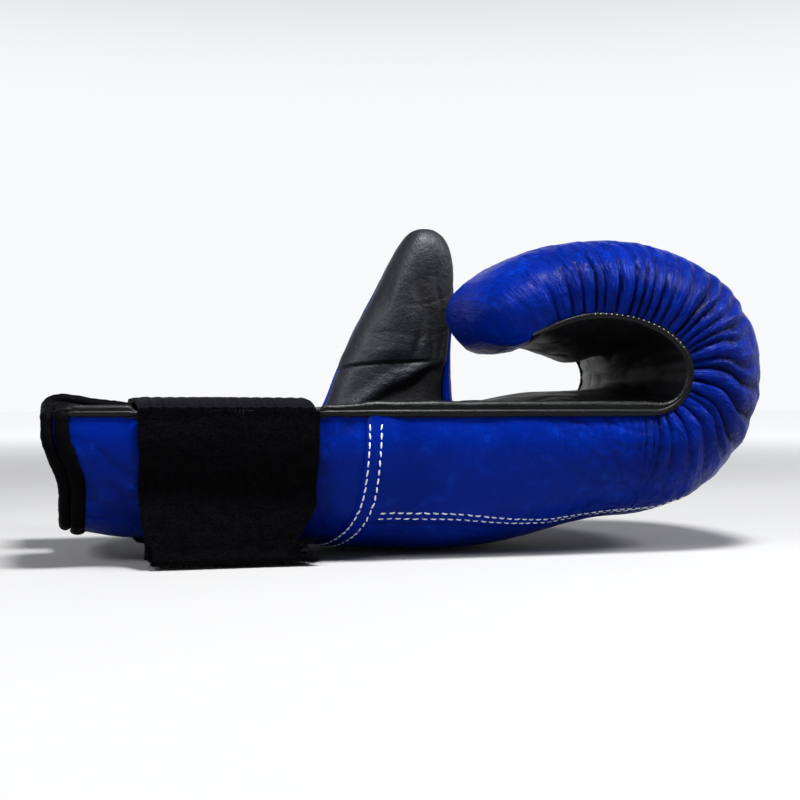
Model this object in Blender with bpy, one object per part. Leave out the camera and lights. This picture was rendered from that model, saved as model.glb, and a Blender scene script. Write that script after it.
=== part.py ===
"""Padded punching-bag mitt for the left hand, lying on its back with the palm up.

Frame: metres, +Z up, origin on the flat of the back where the mitt rests, +X from the cuff
to the knuckles, -Y to the little finger. The body is a tube of nested layers (leather, foam,
lining). Each layer is the same surface, set inwards by that layer's offsets. The surface is
addressed by s, the distance along the palm seam from the cuff's rim to the fingertips, and by
a column round the section: over the back from the little-finger seam to the index seam, and
then home across the palm.
"""
import math

import bpy
import numpy as np

MM = 0.001
GAP = 0.3 * MM                 # clearance kept between neighbouring pieces
PULL = 0.25 * MM               # how far each sheet's cut edge is drawn in from its seam line

# Driving dimensions
RIM_X = -134 * MM              # rim of the cuff
PALM_Z = 51.5 * MM             # height of the palm plane above the surface the mitt lies on
CURL_X = 83 * MM               # where the palm starts to curl up
CURL_R = 15.5 * MM             # radius of the lower quarter of the curl, at the palm seam
TOP_A, TOP_B = 35 * MM, 21 * MM        # half axes of the upper quarter of the curl
BEND_R = 42 * MM               # radius of the fingertips' bend back towards the palm
BEND_ANGLE = math.radians(42)
TIP_RUN = 6.2 * MM             # straight end of the palm seam at the fingertips
NOSE = 16 * MM                 # length over which the fingertips round off
SECTION_POWER = 2.7            # superellipse power of the section
NOSE_POWER = 2.5
RIM_SLANT = 6 * MM             # how far the rim's back lies nearer the knuckles than its palm
RIM_SLANT_END = 60 * MM
RIM_TURN = (0.08, 0.36)        # where it does so, from the palm seams (0) to the crown (1)
SEAM_TUCK = 0.05               # how far the palm seams are drawn in, as a share of the width
SEAM_TUCK_DEPTH = 7 * MM

LEATHER = 1.4 * MM
LINING = 0.9 * MM
BINDING_R = 2.2 * MM           # half width of the cuff's rolled binding
RIM_S = 2 * BINDING_R + GAP    # where the panels start, behind the binding
PIPING_R = 2.1 * MM
THREAD_R = 0.45 * MM
THREAD_SPACING = 4 * MM        # distance between the two rows along the cuff seam
SIDE_ROW_SHARE = 0.008         # the side seam's rows, as a share of the outline from the seam
STRAP = 1.7 * MM
BAND_ARCH = 3.4 * MM           # height of the elastic band over the palm seams
BAND = 2.2 * MM                # thickness of the ribbed elastic band
STRAP_S = (31 * MM, 92 * MM)   # the strap's two edges, from the rim
SLIT_END = 46 * MM             # the palm's wrist slit, from the rim
SLIT_HALF = 5.2 * MM           # its half width at the closed end
SLIT_FLARE = 5 * MM            # what it gains at the rim
CUFF_SEAM = 112.5 * MM         # seam between cuff and hand, at the palm
CUFF_SEAM_LEAN = 5.5 * MM      # how far that seam leans towards the rim at the back
THUMB_END = 170.5 * MM         # far edge of the thumb's opening in the palm
THUMB_SHARE = 0.52             # inner edge of that opening, as a share of the half width

# Thumb
THUMB_BASE_Z = 52.2 * MM
THUMB_TIP_Z = 130 * MM
THUMB_SEAM_Z = 63 * MM
THUMB_DOME = 19 * MM           # height over which the tip rounds off
THUMB_POWER = 2.5
THUMB_HALF_Y = 13.2 * MM
THUMB_Y = 44.6 * MM
THUMB_LEAN_Y = 2 * MM
THUMB_FOAM = 5 * MM
THUMB_HINGE = (8 * MM, 58 * MM, 52 * MM)

# Strap tail, flat on the surface that the mitt lies on, under the strap's hanging foot
STRAP_FOOT_Y = -51.2 * MM
STRAP_BEND_Z = 9 * MM
TAIL_Y = (-57 * MM, -31 * MM)
TAIL_X = (-101.5 * MM, -46 * MM)
TAIL = 2.0 * MM
HOOK_Y = (-46.5 * MM, -33 * MM)

# Smooth profiles along s: crown height over the palm, half width, foam over back, arch of the
# palm leather between its seams, and foam over the sides
HEIGHTS = [(0, 38.8), (25, 44.8), (60, 47.2), (90, 47.6), (112, 51.3), (130, 53), (158, 51.9),
           (178, 48.2), (196, 43.6), (217, 41), (230, 41.9), (241.3, 43.9), (263.7, 36.6),
           (286, 30), (304, 27), (320, 24.6)]
WIDTHS = [(0, 44), (25, 45.5), (60, 47), (90, 50), (112, 52.5), (130, 53.5), (160, 54), (240, 54),
          (285, 53), (320, 50)]
FOAM_BACK = [(0, 3.4), (40, 5), (95, 6), (112, 14), (135, 19), (200, 18), (240, 16), (285, 11.5),
             (320, 10.5)]
PALM_ARCH = [(0, 6), (18, 3), (32, 1), (90, 1), (112, 3), (140, 2.5), (190, 1.5), (216, 3),
             (240, 7), (262, 6.5), (285, 4), (305, 1), (316, 0)]
FOAM_SIDE = [(0, 3.4), (40, 4.5), (95, 5.5), (112, 8), (135, 10), (240, 9.5), (285, 8.5), (320, 8)]
INDEX_TAPER = (272 * MM, 305 * MM)     # the index side narrows here, beside the thumb
INDEX_HALF = 27 * MM                   # half width left on that side

BLACK_LEATHER = ("black_leather", (0.012, 0.013, 0.017, 1), 0.38)
BLUE_LEATHER = ("blue_leather", (0.006, 0.018, 0.22, 1), 0.32)
FOAM_GREY = ("foam_padding", (0.16, 0.16, 0.17, 1), 0.9)
LINING_CLOTH = ("lining_cloth", (0.02, 0.02, 0.022, 1), 0.85)
LOOP_BLACK = ("loop_pile", (0.008, 0.008, 0.009, 1), 0.95)
HOOK_BLACK = ("hook_tape", (0.012, 0.012, 0.013, 1), 0.7)
ELASTIC_BLACK = ("ribbed_elastic", (0.014, 0.014, 0.017, 1), 0.75)
WHITE_THREAD = ("white_thread", (0.72, 0.73, 0.75, 1), 0.6)


def along(stations, s):
    """Smooth value at s through (s, value) stations given in millimetres."""
    xs = np.array([station[0] for station in stations], float) * MM
    ys = np.array([station[1] for station in stations], float) * MM
    slopes = np.gradient(ys, xs)
    s = min(max(s, xs[0]), xs[-1])
    i = min(int(np.searchsorted(xs, s, side="right")) - 1, len(xs) - 2)
    h = xs[i + 1] - xs[i]
    t = (s - xs[i]) / h
    value = (1 + 2 * t) * (1 - t) ** 2 * ys[i] + t * t * (3 - 2 * t) * ys[i + 1]
    return value + t * (1 - t) ** 2 * h * slopes[i] - t * t * (1 - t) * h * slopes[i + 1]


def smoothstep(low, high, value):
    t = min(max((value - low) / (high - low), 0.0), 1.0)
    return t * t * (3 - 2 * t)


def make_seam_path():
    """The palm seam in the XZ plane: straight palm, two quarters of the curl, bent fingertips."""
    points = [(RIM_X, PALM_Z), (CURL_X, PALM_Z)]
    angles = [0.0, 0.0]
    for a in np.linspace(0, math.pi / 2, 40)[1:]:
        points.append((CURL_X + CURL_R * math.sin(a), PALM_Z + CURL_R * (1 - math.cos(a))))
        angles.append(a)
    centre_x = CURL_X + CURL_R - TOP_A
    centre_z = PALM_Z + CURL_R
    for e in np.linspace(0, math.pi / 2, 60)[1:]:
        points.append((centre_x + TOP_A * math.cos(e), centre_z + TOP_B * math.sin(e)))
        angles.append(math.atan2(TOP_B * math.cos(e), -TOP_A * math.sin(e)))
    top_x, top_z = points[-1]
    for a in np.linspace(0, BEND_ANGLE, 30)[1:]:
        points.append((top_x - BEND_R * math.sin(a), top_z - BEND_R * (1 - math.cos(a))))
        angles.append(math.pi + a)
    end_x, end_z = points[-1]
    points.append((end_x + TIP_RUN * math.cos(angles[-1]), end_z + TIP_RUN * math.sin(angles[-1])))
    angles.append(angles[-1])
    points = np.array(points)
    steps = np.hypot(np.diff(points[:, 0]), np.diff(points[:, 1]))
    return np.concatenate([[0.0], np.cumsum(steps)]), points, np.array(angles)


SEAM_S, SEAM_POINTS, SEAM_ANGLES = make_seam_path()
S_CURL = CURL_X - RIM_X
S_RIGHT = S_CURL + CURL_R * math.pi / 2
S_TOP = float(SEAM_S[np.argmax(SEAM_POINTS[:, 1])])
S_END = float(SEAM_S[-1])
S_SPLIT = S_CURL + CURL_R * math.pi / 4        # the knuckle line, where the roll hinges


def seam_frame(s):
    """Seam point, and the direction from it to the outside of the back, in the XZ plane."""
    x = np.interp(s, SEAM_S, SEAM_POINTS[:, 0])
    z = np.interp(s, SEAM_S, SEAM_POINTS[:, 1])
    a = np.interp(s, SEAM_S, SEAM_ANGLES)
    return np.array([x, z]), np.array([math.sin(a), -math.cos(a)])


# A layer gives, at s, its offsets from the outer surface at side, back and palm, and at the tips
def even_layer(offset):
    return lambda s: (offset, offset, offset, offset)


def inner_layer(extra, palm):
    def offsets(s):
        side = along(FOAM_SIDE, s) + extra
        back = along(FOAM_BACK, s) + extra
        return side, back, palm, along(FOAM_BACK, S_END) + extra
    return offsets


LEATHER_OUT = even_layer(0)
LEATHER_IN = even_layer(LEATHER)
FOAM_OUT = even_layer(LEATHER + GAP)
FOAM_IN = inner_layer(LEATHER, LEATHER + GAP)
LINING_OUT = inner_layer(LEATHER + GAP, LEATHER + GAP)
LINING_IN = inner_layer(LEATHER + GAP + LINING, LEATHER + GAP + LINING)


def section_limits(s, layer):
    """Centre and half width across Y, palm and back heights, of one layer's section at s."""
    side, back, palm, tip = layer(s)
    height = along(HEIGHTS, s) - back
    near = along(WIDTHS, s) - side
    far = near
    if s > INDEX_TAPER[0]:
        narrow = INDEX_HALF - side
        far += (narrow - near) * smoothstep(*INDEX_TAPER, s)
    low = palm
    high = height
    shrink = 1.0
    nose = max(NOSE - 0.6 * tip, 10 * MM)
    q = min(max((s - (S_END - tip - nose)) / nose, 0.0), 1.0)
    if q > 0:
        k = (1 - q ** NOSE_POWER) ** (1 / NOSE_POWER)
        middle = palm + 0.45 * (height - palm)
        low = middle - (middle - palm) * k
        high = middle + (height - middle) * k
        shrink = k
    return (far - near) / 2, (far + near) / 2 * shrink, low, high


def outline(s, angles, layer):
    """(y, depth) of a layer's section over the back at angles from 0 to pi."""
    centre, half, low, high = section_limits(s, layer)
    power = 2 / SECTION_POWER
    y = -half * np.sign(np.cos(angles)) * np.abs(np.cos(angles)) ** power
    depth = low + (high - low) * np.abs(np.sin(angles)) ** power
    return centre + y * (1 - SEAM_TUCK * np.exp(-((depth - low) / SEAM_TUCK_DEPTH) ** 2)), depth


def outline_angle(s, share):
    """Angle of the point at a share of the outer section's length, from the little finger."""
    angles = np.linspace(0, math.pi, 121)
    y, depth = outline(min(s, S_END - 0.5 * MM), angles, LEATHER_OUT)
    run = np.concatenate([[0.0], np.cumsum(np.hypot(np.diff(y), np.diff(depth)))])
    return float(np.interp(share * run[-1], run, angles))


def back_point(s, share, layer, angle=None):
    """Point on the back half of a layer: share = 0 at the little-finger seam, 1 at the index."""
    if angle is None:
        angle = outline_angle(s, share)
    y, depth = outline(s, np.array([angle]), layer)
    return place(s, float(y[0]), float(depth[0]), layer)


def palm_point(s, share, layer):
    """Point on the palm half: share = 1 at the index seam and -1 at the little-finger seam."""
    centre, half, low, high = section_limits(s, layer)
    arch = along(PALM_ARCH, s) * (1 - share * share) ** 2
    return place(s, centre + share * half * (1 - SEAM_TUCK), low - arch, layer)


def place(s, y, depth, layer):
    """World point at depth below the seam line; the back is flat where it meets the surface."""
    origin, outward = seam_frame(s)
    x, z = origin + outward * depth
    return np.array([x, y, max(z, layer(s)[1])])


# Rows along s and columns round the section
def make_rows():
    rows = [RIM_S, (RIM_S + STRAP_S[0]) / 2, STRAP_S[0], SLIT_END]
    rows += list(np.linspace(SLIT_END, STRAP_S[1], 4)[1:])
    rows.append(CUFF_SEAM)
    rows += list(np.linspace(CUFF_SEAM, THUMB_END, 5)[1:])
    rows += list(np.linspace(THUMB_END, S_CURL, 4)[1:])
    rows += list(np.linspace(S_CURL, S_RIGHT, 7)[1:])
    rows += list(np.linspace(S_RIGHT, S_TOP, 8)[1:])
    rows += list(np.linspace(S_TOP, S_END - NOSE, 4)[1:])
    rows += [S_END - NOSE * (1 - q) for q in (0.4, 0.7, 0.88, 0.97, 1.0)]
    return rows


ROWS = make_rows()
ROW_STRAP = (2, 6)
ROW_SLIT = 3
ROW_SEAM = 7
ROW_THUMB = 11
ROW_SPLIT = ROW_THUMB + 3 + 3
ROW_LAST = len(ROWS) - 1
ROW_WRAP = ROW_LAST - 4
BACK_COLUMNS = 12
SIDE_COLUMNS = 3               # columns between a palm seam and the side seam
PALM_COLUMNS = 7
COLUMNS = BACK_COLUMNS + PALM_COLUMNS
THUMB_COLUMNS = (BACK_COLUMNS, BACK_COLUMNS + 2)
SLIT_COLUMN = BACK_COLUMNS + 3


def side_seam(s):
    """Share of the back outline at which the side seam runs; it slips under at the curl."""
    return 0.215 + 0.09 * smoothstep(CUFF_SEAM + 20 * MM, S_CURL, s)


def back_share(s, column):
    """Share of the back outline of a column, so that the side seams fall on whole columns."""
    seam = side_seam(s)
    if column <= SIDE_COLUMNS:
        return seam * column / SIDE_COLUMNS
    if column >= BACK_COLUMNS - SIDE_COLUMNS:
        return 1 - seam * (BACK_COLUMNS - column) / SIDE_COLUMNS
    middle = BACK_COLUMNS - 2 * SIDE_COLUMNS
    return seam + (1 - 2 * seam) * (column - SIDE_COLUMNS) / middle


def slit_half(s):
    return SLIT_HALF + SLIT_FLARE * max(0.0, 1 - s / SLIT_END)


def layer_s(s, layer):
    """Station of a layer for the outer surface's station s: inner layers end before the tip."""
    tip = layer(S_END)[3]
    start = S_TOP
    if s <= start:
        return s
    return start + (s - start) * (S_END - tip - start) / (S_END - start)


def row_shift(row, share):
    """How far a row leaves its station over the back: the rim's slant and the cuff seam's lean."""
    towards_back = 1 - abs(2 * share - 1)
    if row == ROW_SEAM:
        return -CUFF_SEAM_LEAN * towards_back ** 0.8
    slant = RIM_SLANT * max(0.0, 1 - ROWS[row] / RIM_SLANT_END)
    return slant * smoothstep(*RIM_TURN, towards_back)


def grid_point(layer, row, column):
    s = ROWS[row]
    column = column % COLUMNS
    if column <= BACK_COLUMNS:
        s += row_shift(row, back_share(ROWS[row], column))
    station = layer_s(s, layer)
    if column <= BACK_COLUMNS:
        share = back_share(ROWS[row], column)
        return back_point(station, share, layer, outline_angle(s, share))
    half = section_limits(station, layer)[1]
    slit = 1.0 if half < 1e-6 else min(0.3, slit_half(s) / half)
    shares = (1, 0.5 + THUMB_SHARE / 2, THUMB_SHARE, slit, -slit, -THUMB_SHARE, -0.76, -1)
    return palm_point(station, shares[column - BACK_COLUMNS], layer)


def clear_scene():
    for item in list(bpy.data.objects):
        bpy.data.objects.remove(item, do_unlink=True)


def get_material(look):
    name, colour, roughness = look
    material = bpy.data.materials.get(name)
    if material is None:
        material = bpy.data.materials.new(name)
        material.use_nodes = True
        shader = material.node_tree.nodes["Principled BSDF"]
        shader.inputs["Base Color"].default_value = colour
        shader.inputs["Roughness"].default_value = roughness
        shader.inputs["Metallic"].default_value = 0.0
        material.diffuse_color = colour
    return material


def signed_volume(points, faces):
    total = 0.0
    for face in faces:
        for i in range(1, len(face) - 1):
            a, b, c = points[face[0]], points[face[i]], points[face[i + 1]]
            total += float(np.dot(a, np.cross(b, c)))
    return total


def add_object(name, points, faces, look, pivot=None):
    """Mesh object with its faces pointing out; a moving piece hangs from its joint's empty."""
    if signed_volume(points, faces) < 0:
        faces = [tuple(reversed(face)) for face in faces]
    origin = np.zeros(3) if pivot is None else np.array(pivot.location)
    mesh = bpy.data.meshes.new(name)
    mesh.from_pydata([tuple(point - origin) for point in points], [], faces)
    mesh.validate()
    mesh.shade_smooth()
    mesh.set_sharp_from_angle(angle=math.radians(40))
    mesh.materials.append(get_material(look))
    item = bpy.data.objects.new(name, mesh)
    item.parent = pivot
    bpy.context.scene.collection.objects.link(item)
    return item


def thick_sheet(name, cells, outer_at, inner_at, look, pivot=None):
    """Closed solid between two surfaces over a set of grid cells.

    outer_at and inner_at give a point for a (row, column) corner. Corners that coincide are one
    vertex. Every free edge is drawn in by PULL and walled, which leaves the clearance to the
    neighbouring sheets.
    """
    keys = {}
    quads = []
    for cell in sorted(cells):
        row, column = cell
        quad = []
        for corner in ((row, column), (row + 1, column), (row + 1, column + 1), (row, column + 1)):
            point = outer_at(*corner)
            key = tuple(np.round(point / (0.002 * MM)).astype(int))
            if key not in keys:
                keys[key] = (len(keys), point, inner_at(*corner))
            if keys[key][0] not in quad:
                quad.append(keys[key][0])
        if len(quad) > 2:
            quads.append(quad)
    count = len(keys)
    outer = np.array([entry[1] for entry in keys.values()])
    inner = np.array([entry[2] for entry in keys.values()])
    uses = {}
    for quad in quads:
        for a, b in zip(quad, quad[1:] + quad[:1]):
            uses[(a, b)] = uses.get((a, b), 0) + 1
    rim = [edge for edge in uses if (edge[1], edge[0]) not in uses]
    rim_vertices = {vertex for edge in rim for vertex in edge}
    for surface in (outer, inner):
        centres = {vertex: [] for vertex in rim_vertices}
        for quad in quads:
            middle = surface[quad].mean(axis=0)
            for vertex in quad:
                if vertex in centres:
                    centres[vertex].append(middle)
        moved = {}
        for vertex, middles in centres.items():
            step = np.mean(middles, axis=0) - surface[vertex]
            moved[vertex] = surface[vertex] + step * (PULL / np.linalg.norm(step))
        for vertex, point in moved.items():
            surface[vertex] = point
    triangles = []
    for quad in quads:
        triangles += [(quad[0], quad[i], quad[i + 1]) for i in range(1, len(quad) - 1)]
    faces = triangles + [(count + c, count + b, count + a) for a, b, c in triangles]
    faces += [(b, a, count + a, count + b) for a, b in rim]
    return add_object(name, np.concatenate([outer, inner]), faces, look, pivot)


def body_sheet(name, cells, outer, inner, look, pivot=None):
    return thick_sheet(name, cells, lambda r, c: grid_point(outer, r, c),
                       lambda r, c: grid_point(inner, r, c), look, pivot)


def block(rows, columns):
    """All cells between two rows and two columns."""
    return {(r, c) for r in range(*rows) for c in range(*columns)}


def tube(name, points, radius, look, pivot=None, closed=False, resolution=1):
    """Round cord along points, as a bevelled curve with filled ends."""
    origin = np.zeros(3) if pivot is None else np.array(pivot.location)
    curve = bpy.data.curves.new(name, "CURVE")
    curve.dimensions = "3D"
    curve.bevel_depth = radius
    curve.bevel_resolution = resolution
    curve.use_fill_caps = not closed
    spline = curve.splines.new("POLY")
    spline.points.add(len(points) - 1)
    for target, point in zip(spline.points, points):
        target.co = (*(np.array(point) - origin), 1.0)
    spline.use_cyclic_u = closed
    curve.materials.append(get_material(look))
    item = bpy.data.objects.new(name, curve)
    item.parent = pivot
    bpy.context.scene.collection.objects.link(item)
    return item


def box(name, low, high, look, pivot=None):
    xs, ys, zs = zip(low, high)
    points = np.array([(x, y, z) for x in xs for y in ys for z in zs])
    faces = [(0, 1, 3, 2), (4, 6, 7, 5), (0, 4, 5, 1), (2, 3, 7, 6), (0, 2, 6, 4), (1, 5, 7, 3)]
    return add_object(name, points, faces, look, pivot)


def joint_empty(name, location):
    item = bpy.data.objects.new(name, None)
    item.location = location
    item.empty_display_size = 0.02
    item.hide_render = True
    bpy.context.scene.collection.objects.link(item)
    return item


def build_leather(fingers):
    """Leather panels of hand and finger roll."""
    back = (SIDE_COLUMNS, BACK_COLUMNS - SIDE_COLUMNS)
    little = (0, SIDE_COLUMNS)
    index = (BACK_COLUMNS - SIDE_COLUMNS, BACK_COLUMNS)
    palm = (BACK_COLUMNS, COLUMNS)
    outer, inner = LEATHER_OUT, LEATHER_IN
    body_sheet("cuff_panel", block((0, ROW_SEAM), (0, BACK_COLUMNS)), outer, inner, BLUE_LEATHER)
    hand = (ROW_SEAM, ROW_SPLIT)
    body_sheet("back_panel", block(hand, back), outer, inner, BLUE_LEATHER)
    body_sheet("side_panel_little", block(hand, little), outer, inner, BLUE_LEATHER)
    body_sheet("side_panel_index", block(hand, index), outer, inner, BLUE_LEATHER)
    body_sheet("palm_panel", palm_cells(), outer, inner, BLACK_LEATHER)
    roll = (ROW_SPLIT, ROW_WRAP)
    wrap = block((ROW_WRAP, ROW_LAST), (0, COLUMNS))
    body_sheet("finger_back_panel", block(roll, back) | wrap, outer, inner, BLUE_LEATHER, fingers)
    body_sheet("finger_side_little", block(roll, little), outer, inner, BLUE_LEATHER, fingers)
    body_sheet("finger_side_index", block(roll, index), outer, inner, BLUE_LEATHER, fingers)
    body_sheet("finger_palm_panel", block(roll, palm), outer, inner, BLACK_LEATHER, fingers)


def palm_cells():
    """The palm from rim to knuckle line, less the wrist slit and the thumb's opening."""
    cells = block((0, ROW_SPLIT), (BACK_COLUMNS, COLUMNS))
    cells -= block((0, ROW_SLIT), (SLIT_COLUMN, SLIT_COLUMN + 1))
    cells -= block((ROW_SEAM, ROW_THUMB), THUMB_COLUMNS)
    return cells


def build_padding(fingers):
    """Foam over back and sides, and the cloth lining of the hand's pocket."""
    over_back = (0, BACK_COLUMNS)
    body_sheet("cuff_foam", block((0, ROW_SEAM), over_back), FOAM_OUT, FOAM_IN, FOAM_GREY)
    thumb_root = block((ROW_SEAM, ROW_THUMB), (BACK_COLUMNS - 1, BACK_COLUMNS))
    hand = block((ROW_SEAM, ROW_SPLIT), over_back) - thumb_root
    body_sheet("hand_foam", hand, FOAM_OUT, FOAM_IN, FOAM_GREY)
    body_sheet("finger_foam", block((ROW_SPLIT, ROW_LAST), over_back), FOAM_OUT, FOAM_IN,
               FOAM_GREY, fingers)
    hand_cells = (palm_cells() | block((0, ROW_SPLIT), over_back)) - thumb_root
    body_sheet("hand_lining", hand_cells, LINING_OUT, LINING_IN, LINING_CLOTH)
    body_sheet("finger_lining", block((ROW_SPLIT, ROW_LAST), (0, COLUMNS)), LINING_OUT, LINING_IN,
               LINING_CLOTH, fingers)


def seam_piping(rows, side):
    """Points of the rolled piping that lies on a palm seam, side = -1 little finger, 1 index."""
    lift = PIPING_R + GAP + 0.1 * MM
    points = []
    for row in rows:
        s = ROWS[row]
        seam = palm_point(s, side, LEATHER_OUT)
        outward = seam_frame(s)[1]
        points.append(seam + np.array([-outward[0] * lift, -side * PIPING_R, -outward[1] * lift]))
    return points


def build_piping(fingers):
    roll_rows = range(ROW_SPLIT, ROW_WRAP + 1)
    for name, side, first in (("piping_little", -1, ROW_SEAM), ("piping_index", 1, ROW_THUMB)):
        points = seam_piping(range(first, ROW_SPLIT + 1), side)
        points[0] = points[0] + (points[1] - points[0]) * 0.12
        points[-1] = points[-1] + (points[-2] - points[-1]) * 0.1
        tube(name, points, PIPING_R, BLACK_LEATHER)
        points = seam_piping(roll_rows, side)
        points[0] = points[0] + (points[1] - points[0]) * 0.1
        points[-1] = points[-1] + (points[-2] - points[-1]) * 0.1
        tube("finger_" + name, points, PIPING_R, BLACK_LEATHER, fingers)


def build_binding():
    """Rolled binding: round the rim of the cuff and along both edges of the wrist slit."""
    middle = even_layer(1.9 * MM)
    reach = BINDING_R + 2 * GAP
    rim = ROWS[0] - reach
    points = []
    for column in range(BACK_COLUMNS + 1):
        share = back_share(ROWS[0], column)
        points.append(back_point(rim + row_shift(0, share), share, middle))
    half = section_limits(rim, middle)[1] * (1 - SEAM_TUCK)
    rolled = even_layer(1.0 * MM)
    turn_s = SLIT_END - 6 * MM
    edge = [palm_point(rim, share, rolled) for share in (0.78, 0.52)]
    edge.append(palm_point(rim, (slit_half(rim) - reach + 1 * MM) / half, rolled))
    for s in (ROWS[0] + 1 * MM, ROWS[1], ROWS[2], turn_s):
        edge.append(palm_point(s, (slit_half(s) - reach) / half, rolled))
    turn_r = edge[-1][1]
    for degrees in (45, 90, 135):
        angle = math.radians(degrees)
        turn = np.array([turn_r * math.sin(angle), turn_r * (math.cos(angle) - 1), 0])
        edge.append(edge[6] + turn)
    points += edge + [point * np.array([1, -1, 1]) for point in reversed(edge[:7])]
    tube("cuff_binding", points, BINDING_R, BLACK_LEATHER, closed=True)


def build_stitching():
    """White double rows: one thread each side of the cuff seam and above the side seams."""
    lift = even_layer(-(THREAD_R + 0.5 * MM))
    for label, shift in (("a", -THREAD_SPACING * 0.5), ("b", THREAD_SPACING * 0.5)):
        points = []
        for column in np.linspace(0.35, BACK_COLUMNS - 0.35, 2 * BACK_COLUMNS + 1):
            low = int(math.floor(column))
            mix = column - low
            share = back_share(CUFF_SEAM, low) * (1 - mix) + back_share(CUFF_SEAM, low + 1) * mix
            s = CUFF_SEAM + shift + row_shift(ROW_SEAM, share)
            point = back_point(s, share, lift)
            point[2] = max(point[2], THREAD_R)
            points.append(point)
        tube("cuff_seam_thread_" + label, points, THREAD_R, WHITE_THREAD, resolution=0)
    for side, mirror in (("little", False), ("index", True)):
        for label, shift in (("a", SIDE_ROW_SHARE), ("b", -SIDE_ROW_SHARE)):
            points = []
            for row in range(ROW_SEAM, ROW_SPLIT - 3):
                s = ROWS[row] + (5 * MM if row == ROW_SEAM else 0)
                share = side_seam(s) + shift
                points.append(back_point(s, 1 - share if mirror else share, lift))
            tube(f"{side}_seam_thread_{label}", points, THREAD_R, WHITE_THREAD, resolution=0)


def build_wrist(strap, tail):
    """Elastic band over the palm side, loop strap down the near side, and its free tail."""
    def band_point(lift):
        def at(row, column):
            s = ROWS[row]
            edge = section_limits(s, LEATHER_OUT)[1] * (1 - SEAM_TUCK)
            share = column / 8 * 2 - 1
            arch = (1 - abs(share) ** 6)
            return np.array([RIM_X + s, edge * share, PALM_Z + 0.6 * MM + BAND_ARCH * arch + lift])
        return at

    band_cells = block((ROW_STRAP[0], ROW_STRAP[1]), (0, 8))
    thick_sheet("elastic_band", band_cells, band_point(BAND), band_point(0), ELASTIC_BLACK)

    outer = even_layer(-(GAP + STRAP))
    inner = even_layer(-GAP)
    side_cells = block(ROW_STRAP, (0, 5))

    def strap_point(layer):
        def at(row, column):
            s = ROWS[row]
            point = back_point(s, back_share(s, (0.35, 1, 2, 2.5)[min(column, 3)]), layer)
            if column > 3:
                point[1] = STRAP_FOOT_Y + layer(s)[0] + GAP + STRAP
                point[2] = (STRAP_BEND_Z, TAIL + GAP)[column - 4]
            if column == 5:
                point[0] = min(max(point[0], TAIL_X[0]), TAIL_X[1])
            return point
        return at

    thick_sheet("strap_side", side_cells, strap_point(outer), strap_point(inner), LOOP_BLACK,
                strap)
    patch_cells = block(ROW_STRAP, (5, 7))
    patch = even_layer(-(GAP + 1.2 * MM))
    body_sheet("loop_patch", patch_cells, patch, inner, LOOP_BLACK)
    box("strap_tail", (TAIL_X[0], TAIL_Y[0], 0), (TAIL_X[1], TAIL_Y[1], TAIL), LOOP_BLACK, tail)
    box("hook_patch", (TAIL_X[0] + 2 * MM, HOOK_Y[0], TAIL + GAP),
        (TAIL_X[1] - 2 * MM, HOOK_Y[1], TAIL + GAP + 0.8 * MM), HOOK_BLACK, tail)


# Thumb: an upright sleeve, its rows going up and its columns round
THUMB_ROWS = [THUMB_BASE_Z, THUMB_SEAM_Z, 76 * MM, 88 * MM, 99 * MM, THUMB_TIP_Z - THUMB_DOME,
              118 * MM, 124 * MM, 128 * MM, THUMB_TIP_Z]
THUMB_BACK_COLUMNS = 8
THUMB_FRONT_COLUMNS = 6
THUMB_COUNT = THUMB_BACK_COLUMNS + THUMB_FRONT_COLUMNS
THUMB_LEFT = [(52, -22), (62, -18.8), (82, -11.2), (104, 0), (127, 9.2), (131, 10)]
THUMB_RIGHT = [(52, 33.6), (80, 33.9), (105, 35), (120, 34.3), (131, 33)]


def thumb_point(front, back):
    """Point finder for a layer of the thumb, offset differently on its palm and back faces."""
    def at(row, column):
        column = column % THUMB_COUNT
        if column <= THUMB_BACK_COLUMNS:
            degrees = -15 + 195 * column / THUMB_BACK_COLUMNS
        else:
            degrees = 180 + 165 * (column - THUMB_BACK_COLUMNS) / THUMB_FRONT_COLUMNS
        angle = math.radians(degrees)
        towards_back = smoothstep(-0.1, 0.75, math.sin(angle))
        offset = front + (back - front) * towards_back
        z = THUMB_ROWS[row]
        top = THUMB_TIP_Z - THUMB_DOME
        q = max(0.0, (z - top) / THUMB_DOME)
        dome = max(0.0, 1 - q ** THUMB_POWER) ** (1 / THUMB_POWER)
        left = along(THUMB_LEFT, z)
        right = along(THUMB_RIGHT, z)
        half_x = max((right - left) / 2 - offset, 1 * MM) * dome
        half_y = (THUMB_HALF_Y - offset) * dome
        lean = THUMB_LEAN_Y * (z - THUMB_BASE_Z) / (THUMB_TIP_Z - THUMB_BASE_Z)
        across = math.copysign(abs(math.cos(angle)) ** 0.8, math.cos(angle))
        depth = math.copysign(abs(math.sin(angle)) ** 0.8, math.sin(angle))
        x = (left + right) / 2 + half_x * across
        y = THUMB_Y + lean + half_y * depth
        if q >= 1:
            return np.array([x, y, THUMB_TIP_Z - front])
        return np.array([x, y, z - offset * q])
    return at


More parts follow.
